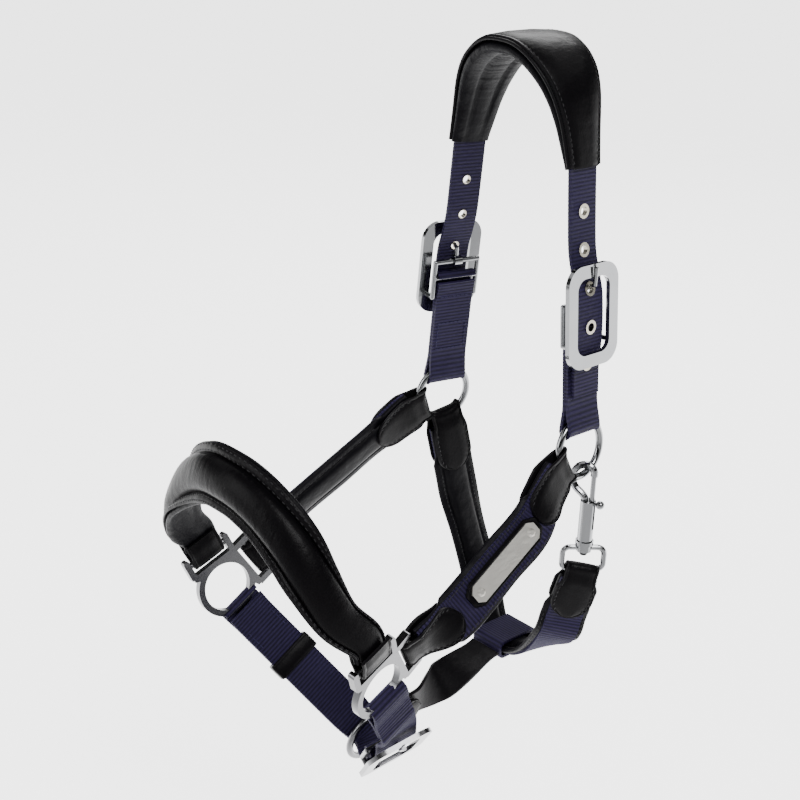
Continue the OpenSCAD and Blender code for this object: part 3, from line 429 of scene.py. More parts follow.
class Nodes:
    """A small helper for writing a material's node tree."""

    def __init__(self, name):
        self.material = bpy.data.materials.new(name)
        self.material.use_nodes = True
        self.tree = self.material.node_tree
        self.shader = self.tree.nodes["Principled BSDF"]

    def add(self, kind, values=(), **settings):
        node = self.tree.nodes.new("ShaderNode" + kind)
        for key, value in settings.items():
            setattr(node, key, value)
        for key, value in dict(values).items():
            if isinstance(value, bpy.types.NodeSocket):
                self.tree.links.new(value, node.inputs[key])
            else:
                node.inputs[key].default_value = value
        return node

    def coordinates(self, output="Object", scale=(1, 1, 1)):
        source = self.add("TexCoord").outputs[output]
        return self.add("Mapping", {"Vector": source, "Scale": scale}).outputs["Vector"]

    def noise(self, where, scale, detail=3.0):
        node = self.add("TexNoise", {"Vector": where, "Scale": scale, "Detail": detail})
        return node.outputs["Fac"]

    def maths(self, operation, a, b=0.0):
        return self.add("Math", {0: a, 1: b}, operation=operation).outputs[0]

    def spread(self, value, low, high):
        """A value from 0 to 1 moved to a range."""
        return self.add("MapRange", {"Value": value, "To Min": low, "To Max": high}).outputs[0]

    def mix_colours(self, factor, a, b):
        node = self.add("Mix", data_type="RGBA")
        for socket, value in ((node.inputs["Factor"], factor), (node.inputs[6], a),
                              (node.inputs[7], b)):
            if isinstance(value, bpy.types.NodeSocket):
                self.tree.links.new(value, socket)
            else:
                socket.default_value = value
        return node.outputs[2]

    def bump(self, height, distance, strength=1.0, normal=None):
        values = {"Height": height, "Distance": distance, "Strength": strength}
        if normal is not None:
            values["Normal"] = normal
        return self.add("Bump", values).outputs["Normal"]

    def set(self, **inputs):
        for key, value in inputs.items():
            socket = self.shader.inputs[key.replace("_", " ")]
            if isinstance(value, bpy.types.NodeSocket):
                self.tree.links.new(value, socket)
            else:
                socket.default_value = value
        return self.material


def leather(name, colour, worn_colour, rough, crease):
    """Smooth black leather: a fine pebbled grain, soft creases and paler worn edges."""
    m = Nodes(name)
    where = m.coordinates()
    grain = m.add("TexVoronoi", {"Vector": where, "Scale": 1300.0}).outputs["Distance"]
    pores = m.noise(where, 2600.0, 2.0)
    creases = m.noise(m.coordinates(scale=(1, 2.4, 1)), 95.0, 5.0)
    wear = m.add("NewGeometry").outputs["Pointiness"]
    worn = m.add("MapRange", {"Value": wear, "From Min": 0.52, "From Max": 0.62}).outputs[0]
    patches = m.noise(where, 28.0, 4.0)
    base = m.mix_colours(patches, colour, tuple(c * 1.7 for c in colour[:3]) + (1,))
    base = m.mix_colours(m.maths("MULTIPLY", worn, 0.5), base, worn_colour)
    normal = m.bump(creases, 0.0012, crease)
    normal = m.bump(grain, 0.00012, 0.55, normal)
    normal = m.bump(pores, 0.00005, 0.5, normal)
    roughness = m.spread(patches, rough - 0.07, rough + 0.1)
    return m.set(Base_Color=base, Roughness=roughness, Normal=normal, Specular_IOR_Level=0.08)


def webbing(name, colour, groove):
    """Ribbed nylon webbing: threads run along it over the ribs, which are real in the mesh; the
    colour also paints the rib tops lighter and the grooves darker, as painted sheen and painted
    shade.
    """
    m = Nodes(name)
    uv = m.add("SeparateXYZ", {"Vector": m.coordinates("UV")})
    across, along = uv.outputs["X"], uv.outputs["Y"]
    thread_pitch, twist_pitch = 0.0009, 0.0007
    thread_turns = m.maths("MULTIPLY", across, TAU / thread_pitch)
    threads = m.maths("SINE", thread_turns)
    ribs = m.maths("COSINE", m.maths("MULTIPLY", along, TAU / (RIB * MM)))
    twist = m.maths("SINE", m.maths("ADD", thread_turns,
                                    m.maths("MULTIPLY", along, TAU / twist_pitch)))
    where = m.coordinates()
    fuzz = m.noise(where, 1800.0, 3.0)
    patches = m.noise(where, 45.0, 4.0)
    # Painted sheen and shade: the rib tops get the lighter colour and the grooves between them the
    # dark groove colour, over the real ribs; threads and fuzz add the webbing's own tone.
    top = m.maths("ADD", m.maths("MULTIPLY", ribs, 0.42), 0.5)
    top = m.maths("ADD", top, m.maths("MULTIPLY", threads, 0.12))
    top = m.maths("ADD", top, m.maths("MULTIPLY", m.maths("SUBTRACT", fuzz, 0.5), 0.7))
    painted_rib_shade_and_weave = m.add("Clamp", {"Value": top}).outputs[0]
    base = m.mix_colours(painted_rib_shade_and_weave, groove, colour)
    base = m.mix_colours(m.maths("MULTIPLY", patches, 0.35), base,
                         tuple(c * 1.5 for c in colour[:3]) + (1,))
    weave = m.maths("ADD", m.maths("MULTIPLY", threads, 0.5), m.maths("MULTIPLY", twist, 0.35))
    normal = m.bump(weave, 0.00012, 0.9)
    normal = m.bump(fuzz, 0.00012, 0.5, normal)
    return m.set(Base_Color=base, Roughness=m.spread(fuzz, 0.5, 0.72), Normal=normal,
                 Specular_IOR_Level=0.14, Sheen_Weight=0.05, Sheen_Roughness=0.4,
                 Sheen_Tint=(0.5, 0.5, 0.9, 1))


def metal(name, colour, rough, marks=1.0, stretch=(1, 1, 1), tarnish=0.0):
    """Polished or satin metal with fine handling marks, and hollows that are duller: rougher, and
    darkened by painted shade.
    """
    m = Nodes(name)
    where = m.coordinates(scale=stretch)
    fine = m.noise(where, 900.0, 3.0)
    broad = m.noise(m.coordinates(), 60.0, 4.0)
    hollow = m.add("NewGeometry").outputs["Pointiness"]
    hollow_shade_and_dulling = m.add("MapRange", {"Value": hollow, "From Min": 0.5, "From Max": 0.42}).outputs[0]
    darker = tuple(c * 0.45 for c in colour[:3]) + (1,)
    base = m.mix_colours(m.maths("MULTIPLY", broad, tarnish), colour, darker)
    # Painted shade: the hollows are darkened in the colour here, and made rougher below.
    base = m.mix_colours(m.maths("MULTIPLY", hollow_shade_and_dulling, 0.6), base, darker)
    roughness = m.maths("ADD", m.spread(fine, rough * 0.75, rough * 1.35),
                        m.maths("MULTIPLY", hollow_shade_and_dulling, 0.15))
    normal = m.bump(fine, 0.00002, 0.35 * marks)
    normal = m.bump(broad, 0.0002, 0.25 * marks, normal)
    return m.set(Base_Color=base, Metallic=1.0, Roughness=roughness, Normal=normal)


def thread(name, colour):
    """Waxed sewing thread, twisted."""
    m = Nodes(name)
    where = m.coordinates()
    ply = m.noise(where, 2500.0, 2.0)
    base = m.mix_colours(ply, colour, tuple(c * 2.2 for c in colour[:3]) + (1,))
    return m.set(Base_Color=base, Roughness=0.55, Normal=m.bump(ply, 0.0001, 0.6),
                 Specular_IOR_Level=0.25, Sheen_Weight=0.08)


def floor_material():
    """A pale floor that glows behind the object and fades out in front of it."""
    m = Nodes("studio_floor")
    place = m.add("SeparateXYZ", {"Vector": m.coordinates()})
    ahead = m.maths("ADD", place.outputs["X"], place.outputs["Y"])
    glow = m.add("MapRange", {"Value": ahead, "From Max": GLOW_END, "To Min": FLOOR_GLOW,
                              "To Max": 0.05}).outputs[0]
    tone = m.noise(m.coordinates(), 3.0, 2.0)
    base = m.mix_colours(tone, (0.93, 0.93, 0.935, 1), (0.96, 0.96, 0.96, 1))
    return m.set(Base_Color=base, Roughness=0.9, Specular_IOR_Level=0.1,
                 Emission_Color=(1, 1, 1, 1), Emission_Strength=glow)


BLACK = leather("black_leather", (0.0024, 0.0021, 0.0026, 1), (0.016, 0.015, 0.017, 1),
                rough=0.33, crease=0.35)
LINING = leather("lining_leather", (0.002, 0.0018, 0.0028, 1), (0.012, 0.011, 0.014, 1),
                 rough=0.42, crease=0.8)
# The darker colour is the painted shade in the grooves between the ribs.
NAVY = webbing("navy_webbing", (0.024, 0.018, 0.058, 1), (0.001, 0.0008, 0.003, 1))
CHROME = metal("chrome", (0.33, 0.335, 0.345, 1), 0.12, tarnish=0.35)
CAST = metal("cast_satin", (0.2, 0.2, 0.208, 1), 0.22, marks=0.5, tarnish=0.3)
NICKEL = metal("nickel", (0.46, 0.43, 0.36, 1), 0.2, tarnish=0.4)
PLATE = metal("satin_plate", (0.75, 0.73, 0.68, 1), 0.46, marks=2.0, stretch=(0.08, 1, 1),
              tarnish=0.3)
BLACK_THREAD = thread("black_thread", (0.009, 0.0085, 0.010, 1))
NAVY_THREAD = thread("navy_thread", (0.012, 0.010, 0.042, 1))


# ------------------------------------------------------------------ meshes

def make_object(name, verts, faces, material, body="straps", uvs=None, sharp=40):
    """A shaded mesh in metres from points in millimetres, riding on a body."""
    mesh = bpy.data.meshes.new(name)
    mesh.from_pydata([tuple(v) for v in np.asarray(verts) * MM], [], faces)
    if uvs is not None:
        layer = mesh.uv_layers.new(name="metres")
        loops = np.zeros(len(mesh.loops), int)
        mesh.loops.foreach_get("vertex_index", loops)
        layer.data.foreach_set("uv", (np.asarray(uvs)[loops] * MM).ravel())
    work = bmesh.new()
    work.from_mesh(mesh)
    bmesh.ops.recalc_face_normals(work, faces=work.faces)
    work.to_mesh(mesh)
    work.free()
    mesh.polygons.foreach_set("use_smooth", [True] * len(mesh.polygons))
    mesh.set_sharp_from_angle(angle=math.radians(sharp))
    mesh.materials.append(material)
    obj = bpy.data.objects.new(name, mesh)
    bpy.context.scene.collection.objects.link(obj)
    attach(obj, body)
    return obj


def sweep(name, band, stations, outline, material, sharp=40, body="straps"):
    """A closed solid along a band.  outline(s) gives its section as (across, out) points."""
    stations = np.asarray(stations, float)
    p, _, w, o = band.at(stations)
    rows = np.array([outline(s) for s in stations], float)
    n, m = rows.shape[:2]
    verts = p[:, None] + rows[..., :1] * w[:, None] + rows[..., 1:] * o[:, None]
    uvs = np.stack([rows[..., 0], np.repeat(stations[:, None], m, axis=1)], axis=-1)
    i, j = np.meshgrid(np.arange(n - 1), np.arange(m), indexing="ij")
    k = (j + 1) % m
    faces = np.stack([i * m + j, i * m + k, (i + 1) * m + k, (i + 1) * m + j], -1)
    faces = faces.reshape(-1, 4).tolist()
    faces += [list(range(m))[::-1], list(range((n - 1) * m, n * m))]
    return make_object(name, verts.reshape(-1, 3), faces, material, body, uvs.reshape(-1, 2),
                       sharp)


def mirrored(right, middle=()):
    """A whole section from its right half and any points between the two halves."""
    return np.array([*right, *middle, *[(-x, h) for x, h in right[::-1]]])


def rounded_box(w, h, r):
    """The outline of a rectangle with round corners."""
    points = []
    for cx, cy, start in ((w / 2 - r, h / 2 - r, 0), (r - w / 2, h / 2 - r, 90),
                          (r - w / 2, r - h / 2, 180), (w / 2 - r, r - h / 2, 270)):
        for a in np.radians(start + np.arange(0, 91, 15)):
            points.append((cx + r * math.cos(a), cy + r * math.sin(a)))
    return points


def cushion_outline(w, low, high, square=3.0, points=36):
    """A round-edged closed section between two heights."""
    a = np.arange(points) * TAU / points
    x = np.sign(np.cos(a)) * np.abs(np.cos(a)) ** (2 / square) * w / 2
    h = np.sign(np.sin(a)) * np.abs(np.sin(a)) ** (2 / 2.4)
    return np.column_stack([x, (low + high) / 2 + h * (high - low) / 2])


def hide_outline(w, low, high, groove=2.6, depth=0.3):
    """A layer of leather: round cut edges and a shallow sewn groove along each side."""
    e, g = min(0.7, w / 6), min(groove, w / 3)
    half, mid = w / 2, (low + high) / 2
    right = [(half - e, low), (half, mid), (half - e, high), (half - g + 0.7, high + 0.1),
             (half - g, high - depth), (half - g - 0.7, high + 0.1), (half * 0.35, high + 0.25)]
    return mirrored(right)


def channel_outline(w, back, edge, crest):
    """Padded leather: flat edges beyond two sewn rows and a raised channel between them."""
    half, seam, side = w / 2, w * 0.29, 1 if crest > back else -1
    rise = crest - edge
    right = [(half - 0.8, back), (half, (back + edge) / 2), (half - 0.9, edge),
             (seam + 2.2, edge + 0.1 * side), (seam + 0.2, edge - 0.45 * side),
             (seam - 1.2, edge + rise * 0.55), (seam * 0.62, edge + rise * 0.92),
             (seam * 0.3, crest)]
    return mirrored(right)


def web_outline(w, t):
    """Webbing whose faces rise and fall in ribs along it; t is its full thickness."""
    def outline(s):
        rib = abs(math.cos(math.pi * s / RIB)) ** 0.7
        top = t / 2 - 0.32 + 0.32 * rib
        edge = w / 2 - 0.35 + 0.25 * rib
        right = [(edge - 1.0, -top), (edge, -0.45 * t), (edge + 0.12, 0), (edge, 0.45 * t),
                 (edge - 1.0, top)]
        return np.array(right + [(-x, -h) for x, h in right])
    return outline


def ribbed(name, band, w, start=0.0, end=None, t=WEB_T, width=None):
    """A length of webbing along a band, cut square."""
    shape = web_outline(w, t)

    def outline(s):
        rows = shape(s)
        if width is not None:
            rows[:, 0] *= width(s) / w
        return rows
    return sweep(name, band, band.stations(RIB / 6, start, end), outline, NAVY, sharp=60)


def tongue_width(s, length, w, loop_w):
    """Width of a leather tab: narrow round the metal and ending in a round tongue."""
    d = min(s, length - s)
    r = w / 2
    wide = 2 * math.sqrt(max(r * r - max(r - d, 0) ** 2, 0.04)) if d < r else w
    past_loop = abs(s - length / 2) - LOOP_HALF
    return min(wide, loop_w + (w - loop_w) * ease(past_loop / 8))


def leather_tab(name, band, reach, w, loop_w, nodes, metal_r=WIRE_R, ring_r=None,
                height=TAB_IN + HIDE_T / 2):
    """A leather end tab folded round metal at a band's start, with its stitching."""
    folded = fold_round(band, reach, height, metal_r + 0.35 + HIDE_T / 2)
    n = folded.length

    def outline(s):
        return hide_outline(tongue_width(s, n, w, loop_w), -HIDE_T / 2, HIDE_T / 2)

    ends = w / 2 * (1 - np.cos(np.linspace(0, math.pi / 2, 14)))
    stations = np.concatenate([ends, folded.stations(0.8, w / 2 + 0.5, n - w / 2 - 0.5),
                               (n - ends)[::-1]])
    stations[0], stations[-1] = 0.05, n - 0.05
    tab = sweep(name, folded, stations, outline, BLACK)
    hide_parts(*nodes)
    rows = []
    for e in (-1, 1):
        def inset(s, e=e):
            return e * (tongue_width(s, n, w, loop_w) / 2 - 2.6)
        rows += [(folded, inset, HIDE_T / 2 + 0.1, 5, n / 2 - 15),
                 (folded, inset, HIDE_T / 2 + 0.1, n / 2 + 15, n - 5)]
    stitches = stitch_rows(name + "_stitches", BLACK_THREAD, rows)
    if ring_r is not None:
        for obj in (tab, stitches):
            follow_ring(obj, band.p[0], band.t[0], band.w[0], ring_r)


# One stitch, a short thread that dips into the leather at both ends: for each of its rings,
# the distance along, the radius and the height.
STITCH = np.array([(-1.45, 0.05, -0.35), (-1.0, 0.3, 0.0), (0, 0.36, 0.12), (1.0, 0.3, 0.0),
                   (1.45, 0.05, -0.35)])


def stitch_rows(name, material, rows, pitch=3.6):
    """Rows of stitches on a band.  Each row is (band, across, out, start, end)."""
    ring = np.array([(math.cos(a), math.sin(a)) for a in np.arange(6) * TAU / 6])
    verts, faces = [], []
    for band, across, out, start, end in rows:
        for s in np.arange(start + pitch / 2, end, pitch):
            x = across(s) if callable(across) else across
            here, ahead = band.point([s - 1, s + 1], x, out)
            _, _, w, o = (a[0] for a in band.at([s]))
            t = unit(ahead - here)
            w, o = square_to(w, t), square_to(o, t)
            middle = (here + ahead) / 2
            first = len(verts)
            for along, r, lift in STITCH:
                centre = middle + along * t + lift * o
                verts += [centre + r * (c * w + d * o) for c, d in ring]
            for i in range(len(STITCH) - 1):
                for j in range(6):
                    k = (j + 1) % 6
                    a = first + 6 * i
                    faces.append([a + j, a + k, a + 6 + k, a + 6 + j])
            faces.append([first + j for j in range(5, -1, -1)])
            faces.append([first + 6 * (len(STITCH) - 1) + j for j in range(6)])
    return make_object(name, verts, faces, material, sharp=80)


def follow_ring(obj, bar_at, t, w, r, reach=16):
    """Pull the fold of a strap back over its width to follow a ring of some radius."""
    mesh = obj.data
    points = np.zeros(len(mesh.vertices) * 3)
    mesh.vertices.foreach_get("co", points)
    points = points.reshape(-1, 3) / MM
    x = np.clip((points - bar_at) @ w, 0.1 - r, r - 0.1)
    weight = ease(1 - ((points - bar_at) @ t - 2) / reach)
    points -= ((r - np.sqrt(r * r - x * x)) * weight)[:, None] * t
    mesh.vertices.foreach_set("co", (points * MM).ravel())
    mesh.update()


def cut_holes(obj, places, r):
    """Round holes through a mesh; places are (middle, direction) in millimetres."""
    for i, (middle, direction) in enumerate(places):
        turn = Vector(direction).to_track_quat("Z", "Y").to_matrix().to_4x4()
        work = bmesh.new()
        place = Matrix.Translation(Vector(middle) * MM) @ turn
        bmesh.ops.create_cone(work, cap_ends=True, segments=32, radius1=r * MM, radius2=r * MM,
                              depth=12 * MM, matrix=place)
        mesh = bpy.data.meshes.new("cutter")
        work.to_mesh(mesh)
        work.free()
        cutter = bpy.data.objects.new("cutter", mesh)
        bpy.context.scene.collection.objects.link(cutter)
        change = obj.modifiers.new(f"hole_{i}", "BOOLEAN")
        change.object = cutter
        change.solver = "EXACT"
        depsgraph = bpy.context.evaluated_depsgraph_get()
        result = bpy.data.meshes.new_from_object(obj.evaluated_get(depsgraph))
        obj.modifiers.clear()
        obj.data = result
        bpy.data.objects.remove(cutter)


# ------------------------------------------------------------------- crown

def build_crown():
    """The leather panel, its padded lining and the piping round the edges."""
    band = crown_band()
    width = along_profile(band, both_values(CROWN_WIDTHS))
    fill = along_profile(band, both_values(CROWN_PADS))
    n = band.length

    def corner(s):
        """How much the panel narrows over the last few millimetres at its ends."""
        d = max(CROWN_CORNER_R - min(s, n - s), 0)
        return CROWN_CORNER_R - math.sqrt(CROWN_CORNER_R**2 - d * d)

    def panel(s):
        rows = hide_outline(width(s) - 2 * corner(s), -HIDE_T, 0)
        rows[3:-3, 1] += 1.3 * fill(s) * (1 - (rows[3:-3, 0] / (width(s) / 2)) ** 2)
        return rows

    outer = sweep("crown_panel", band, band.stations(1.0), panel, BLACK)
    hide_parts("crown_outer")
    stitch_rows("crown_panel_stitches", BLACK_THREAD,
                [(band, lambda s, e=e: e * (width(s) / 2 - 2.6), 0.05, 3, n - 3) for e in (-1, 1)])

    ripples = list(zip((0.9, 1.37, 0.61, 2.1), rng.uniform(0, TAU, 4)))

    def lining(s):
        rows = cushion_outline(width(s) + 3.0 * fill(s) + 0.6, -4.8 - CROWN_PAD_T * fill(s) - 0.8,
                               -1.9, square=3.4, points=56)
        inner = rows[:, 1] < -4.5
        x = rows[:, 0] / (width(s) / 2)
        seam = np.exp(-((np.abs(x) - 0.45) / 0.07) ** 2)
        pucker = np.exp(-((s - n / 2) / 45) ** 2) * (1 - np.abs(x)).clip(0, 1)
        ripple = sum(math.sin(s * k + phase + 1.5 * x[0]) for k, phase in ripples)
        rows[:, 1] += inner * (1.6 * fill(s) * seam + 0.28 * pucker * ripple)
        return rows

    pad = sweep("crown_lining", band, band.stations(0.8, 0.3, n - 0.3), lining, LINING, sharp=70)
    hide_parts("crown_padding")

    angles = np.arange(10) * TAU / 10
    piping = np.column_stack([1.5 * np.cos(angles), 1.2 * np.sin(angles)])

    for side, word in ((-1, "rear"), (1, "front")):
        def roll(s, side=side):
            rows = piping.copy()
            rows[:, 0] += side * (width(s) / 2 + 0.7 * fill(s) + 0.1)
            rows[:, 1] -= 2.3
            return rows
        sweep(f"crown_piping_{word}", band, band.stations(1.5, 1, n - 1), roll, BLACK, sharp=80)


def eyelet_places(band):
    """Middle and outward direction of each eyelet, on a band that starts at 2 mm up the crown."""
    downs = [p[0] for p in CROWN_WEB_PATH]
    drop = np.linspace(0, band.length, 200)
    d = (band.p[0] - band.at(drop)[0])[:, 2] / math.cos(LEAN) + downs[0]
    places = []
    for i in range(EYELET_COUNT):
        s = np.interp(EYELET_FIRST + i * EYELET_PITCH, d, drop)
        p, _, _, o = band.at([s])
        places.append((p[0], o[0]))
    return places


def build_hanging(s, word):
    """One side of the crown strap and the billet that joins it to the ring."""
    tail = tail_band(s)
    web = ribbed(f"crown_webbing_{word}", tail, CROWN_WEB_W, start=-4)
    cut_holes(web, eyelet_places(tail), EYELET_R + 0.5)
    if s > 0:
        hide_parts("crown_webbing")
    start, end = BILLET_BAR_AT, HANG_RING[s] - RING_R
    points = [hang_point(s, 0, 0, d) for d in (start, (start + end) / 2, end)]
    line = Band(points, [s * hang_vector(s, 1, 0, 0)] * 3)
    route = round_two_bars(line, LAYER_H, BAR_R + BAR_GAP + WEB_T / 2,
                           WIRE_R + RING_GAP + WEB_T / 2)
    billet = ribbed(f"billet_webbing_{word}", route, WEB_W)
    follow_ring(billet, line.p[-1], -line.t[-1], line.w[-1], RING_R)
    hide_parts(f"billet_{word}")
    rows = [(line, e * WEB_STITCH_X, WEB_T + 0.1, line.length - 36, line.length - 18)
            for e in (-1, 1)]
    stitch_rows(f"billet_stitches_{word}", NAVY_THREAD, rows)
    cross_rows(f"billet_cross_rows_{word}", line, WEB_T + 0.1,
               (14, line.length - 37, line.length - 17), WEB_STITCH_X)


def round_two_bars(line, h, r_start, r_end):
    """The closed route of a strap that runs double along a line and round a bar at each end."""
    n = line.length
    s = line.stations(1.0)
    heights = (h + (r_start - h) * (1 - ease(s / FOLD_REACH))
               + (r_end - h) * (1 - ease((n - s) / FOLD_REACH)))
    p, t, w, o = line.at(s)
    outer, inner = p + heights[:, None] * o, (p - heights[:, None] * o)[::-1]
    angles = np.radians(np.arange(80, -81, -10))
    end_arc = np.array([p[-1] + r_end * (math.cos(a) * t[-1] + math.sin(a) * o[-1])
                        for a in angles])
    start_arc = np.array([p[0] - r_start * (math.cos(a) * t[0] + math.sin(a) * o[0])
                          for a in angles])
    points = np.vstack([outer[3:], end_arc, inner, start_arc])
    across = np.vstack([w[3:], np.repeat(w[-1:], len(end_arc), 0), w[::-1],
                        np.repeat(w[:1], len(start_arc), 0)])
    return Band(points, across, step=0.5, smooth=False)


def cross_rows(name, line, out, places, reach):
    """Rows of stitches across a strap at distances along it."""
    bands = []
    for s in places:
        p, _, w, o = (a[0] for a in line.at([s]))
        t = np.cross(o, w)
        bands.append(Band([p - reach * w, p, p + reach * w], [t, t, t]))
    rows = [(b, 0, out if np.dot(b.o[0], line.at([0])[3][0]) > 0 else -out, 0, b.length)
            for b in bands]
    return stitch_rows(name, NAVY_THREAD, rows, CROSS_PITCH)


# ------------------------------------------------------------------ cheeks

def build_cheek(s, word):
    """One cheekpiece: padded leather inside, webbing outside and a leather tab at each end."""
    band = cheek_band(s)
    n = band.length

    def backing(d):
        w = min(BACKING_W, WEB_W - 1.5 + 1.0 * max(0, min(d - 30, n - 30 - d)))
        return channel_outline(w, TAB_IN - WEB_T - 0.2, -1.4, 0.1 - TAB_IN)

    pad = sweep(f"cheek_padding_{word}", band, band.stations(1.0, 8, n - 8), backing, LINING,
                sharp=70)
    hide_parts(f"cheek_backing_{word}")
    web_line = Band(band.point(band.s, 0, TAB_IN - WEB_T / 2 - 0.1), band.w, smooth=False)
    web = ribbed(f"cheek_web_{word}", web_line, WEB_W - 2.5, 8, web_line.length - 8)
    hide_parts(f"cheek_webbing_{word}")
    inside = band.turned_over()
    stitch_rows(f"cheek_edge_stitches_{word}", BLACK_THREAD, [
        (band, e * 12.4, TAB_IN + 0.1, 40, n - 40) for e in (-1, 1)] + [
        (inside, e * PAD_STITCH_X, 1.5, 40, n - 40) for e in (-1, 1)])
    to_ring, to_bar = (band, band.reversed()) if s > 0 else (band.reversed(), band)
    leather_tab(f"cheek_rear_{word}", to_ring, 43, WEB_W, RING_TAB_W, [f"cheek_rear_tab_{word}"],
                ring_r=RING_R)
    leather_tab(f"cheek_front_{word}", to_bar, 41, WEB_W - 2, 25, [f"cheek_front_tab_{word}"],
                metal_r=2.2)
    return band


def build_plate_patch(band):
    """The leather patch under the nameplate, on the near cheekpiece."""
    low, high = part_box("nameplate_patch")
    middle = np.array((low + high) / 2) / MM
    d = band.s[np.argmin(np.linalg.norm(band.p - middle, axis=1))]
    _, t, w, _ = (a[0] for a in band.at([d]))
    half = PLATE_L / 2 + 3.5
    base = Band([middle - half * t, middle, middle + half * t], [w, w, w])

    def outline(s):
        edge = min(s, base.length - s)
        return hide_outline(10 + 9 * min(edge / 7, 1), -1.1, 0.5, groove=1.4, depth=0.15)

    patch = sweep("nameplate_backing", base, base.stations(0.5, 0.1, base.length - 0.1), outline,
                  BLACK)
    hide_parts("nameplate_patch")


# ---------------------------------------------------------------- noseband

NOSE_WIDTHS = [NOSE_W, NOSE_W, NOSE_W - 1, NOSE_W - 2.5, NOSE_W - 5, NOSE_W - 8.5,
               NOSE_END_W + 1.5, NOSE_END_W]
NOSE_FILL = [1, 1, 1, 1, 0.95, 0.85, 0.6, 0.35]


def build_noseband():
    """The padded lining, the cover with its raised roll, and the loops that hold the fittings."""
    band = nose_band()
    width = along_profile(band, both_values(NOSE_WIDTHS))
    fill = along_profile(band, both_values(NOSE_FILL))
    n = band.length

    def lining(s):
        low = -NOSE_PAD_T * fill(s) - 0.6
        rows = cushion_outline(width(s) + 1.2 * fill(s), low, 0.4, 3.2, 44)
        x = rows[:, 0] / (width(s) / 2)
        seam = np.exp(-((np.abs(x) - 0.5) / 0.08) ** 2)
        rows[:, 1] += (rows[:, 1] < low / 2) * 0.9 * fill(s) * seam
        return rows

    pad = sweep("noseband_padding", band, band.stations(1.0), lining, LINING, sharp=70)
    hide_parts("noseband_lining")

    def cover(s):
        """A flange along each side and the padded roll between two sewn seams."""
        w, f = width(s), fill(s)
        seam = min(NOSE_ROLL_W, w - 5) / 2
        h = NOSE_ROLL_T * f
        arch = np.radians(np.arange(0, 181, 15))
        roll = np.column_stack([0.97 * seam * np.cos(arch),
                                1.1 + (h - 0.6) * np.sin(arch) ** 0.8])
        right = [(w / 2 - 0.8, -0.4), (w / 2, 0.5), (w / 2 - 0.6, 1.5), ((w / 2 + seam) / 2, 1.75),
                 (seam + 0.9, 1.35), (seam + 0.1, 0.75)]
        return mirrored(right, roll[1:-1])

    roll = sweep("noseband_cover", band, band.stations(1.0), cover, BLACK, sharp=70)
    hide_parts("noseband_roll")
    stitch_rows("noseband_seams", BLACK_THREAD, [
        (band, lambda s, e=e: e * (min(NOSE_ROLL_W, width(s) - 5) / 2 + 1.7), 1.45, 4, n - 4)
        for e in (-1, 1)])
    stitch_rows("noseband_edge_stitches", BLACK_THREAD, [
        (band, lambda s, e=e: e * (width(s) / 2 - 1.5), 1.55, 4, n - 4) for e in (-1, 1)])

    for s, word in SIDES:
        point, along, out = bar(s, 1)
        short = Band([point, point + 8 * out, point + 16 * out], [along] * 3)
        folded = fold_round(short, 15, TAB_IN + 1, 3.6)
        end = sweep(f"noseband_end_loop_{word}", folded, folded.stations(0.8),
                    lambda d: hide_outline(NOSE_END_W, -HIDE_T / 2, HIDE_T / 2), BLACK)
        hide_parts(f"noseband_end_{word}")


# -------------------------------------------------------------- chin strap

def build_chin_strap(line):
    """The long part, doubled from the off fitting through the lead ring to the buckle."""
    route = round_two_bars(line, LAYER_H, CHIN_FOLD_R, BAR_R + BAR_GAP + WEB_T / 2)
    gather = vec(CHIN_GATHER_AT)

    def width(s):
        away = np.linalg.norm(route.at(s)[0][0] - gather)
        return WEB_W - 4 * math.exp(-(away / 14) ** 2)

    strap = ribbed("chin_webbing", route, WEB_W, width=width)
    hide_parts("chin_strap")
    stitch_rows("chin_edge_stitches", NAVY_THREAD, [
        (line, e * WEB_STITCH_X, WEB_T + 0.1, 18, 34) for e in (-1, 1)])


def build_chin_billet():
    """The short part: sewn back on itself round the near fitting, then through the buckle."""
    billet = chin_billet_band()
    sewn_end = Band(billet.point(billet.s[billet.s < 24], 0, -LAYER_H),
                    billet.w[billet.s < 24], smooth=False)
    back = sewn_end.stations(1.0)[::-1]
    run = billet.stations(1.0, 1.0)

    def height(s):
        """Half the gap between the two layers, wide at the fold and closing along it."""
        return CHIN_FOLD_R + (LAYER_H - CHIN_FOLD_R) * ease(s / FOLD_REACH)

    p, t, w, o = billet.at(back)
    under = p - height(back)[:, None] * o
    angles = np.radians(np.arange(260, 99, -10))
    arc = np.array([p[-1] + CHIN_FOLD_R * (math.cos(a) * t[-1] + math.sin(a) * o[-1])
                    for a in angles])
    p_run, _, w_run, o_run = billet.at(run)
    single = np.clip((run - 20) / 12, 0, 1)
    over = p_run + (height(run) * (1 - single))[:, None] * o_run
    route = Band(np.vstack([under, arc, over]),
                 np.vstack([w, np.repeat(w[-1:], len(arc), 0), w_run]), step=0.5, smooth=False)
    tail = ribbed("chin_billet_webbing", route, WEB_W)
    hole = chin_buckle_point(0, 6, BUCKLE_AT - EYELET_FIRST - 2 * EYELET_PITCH)
    cut_holes(tail, [(hole, BUCKLE_Y)], EYELET_R)
    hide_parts("chin_billet")


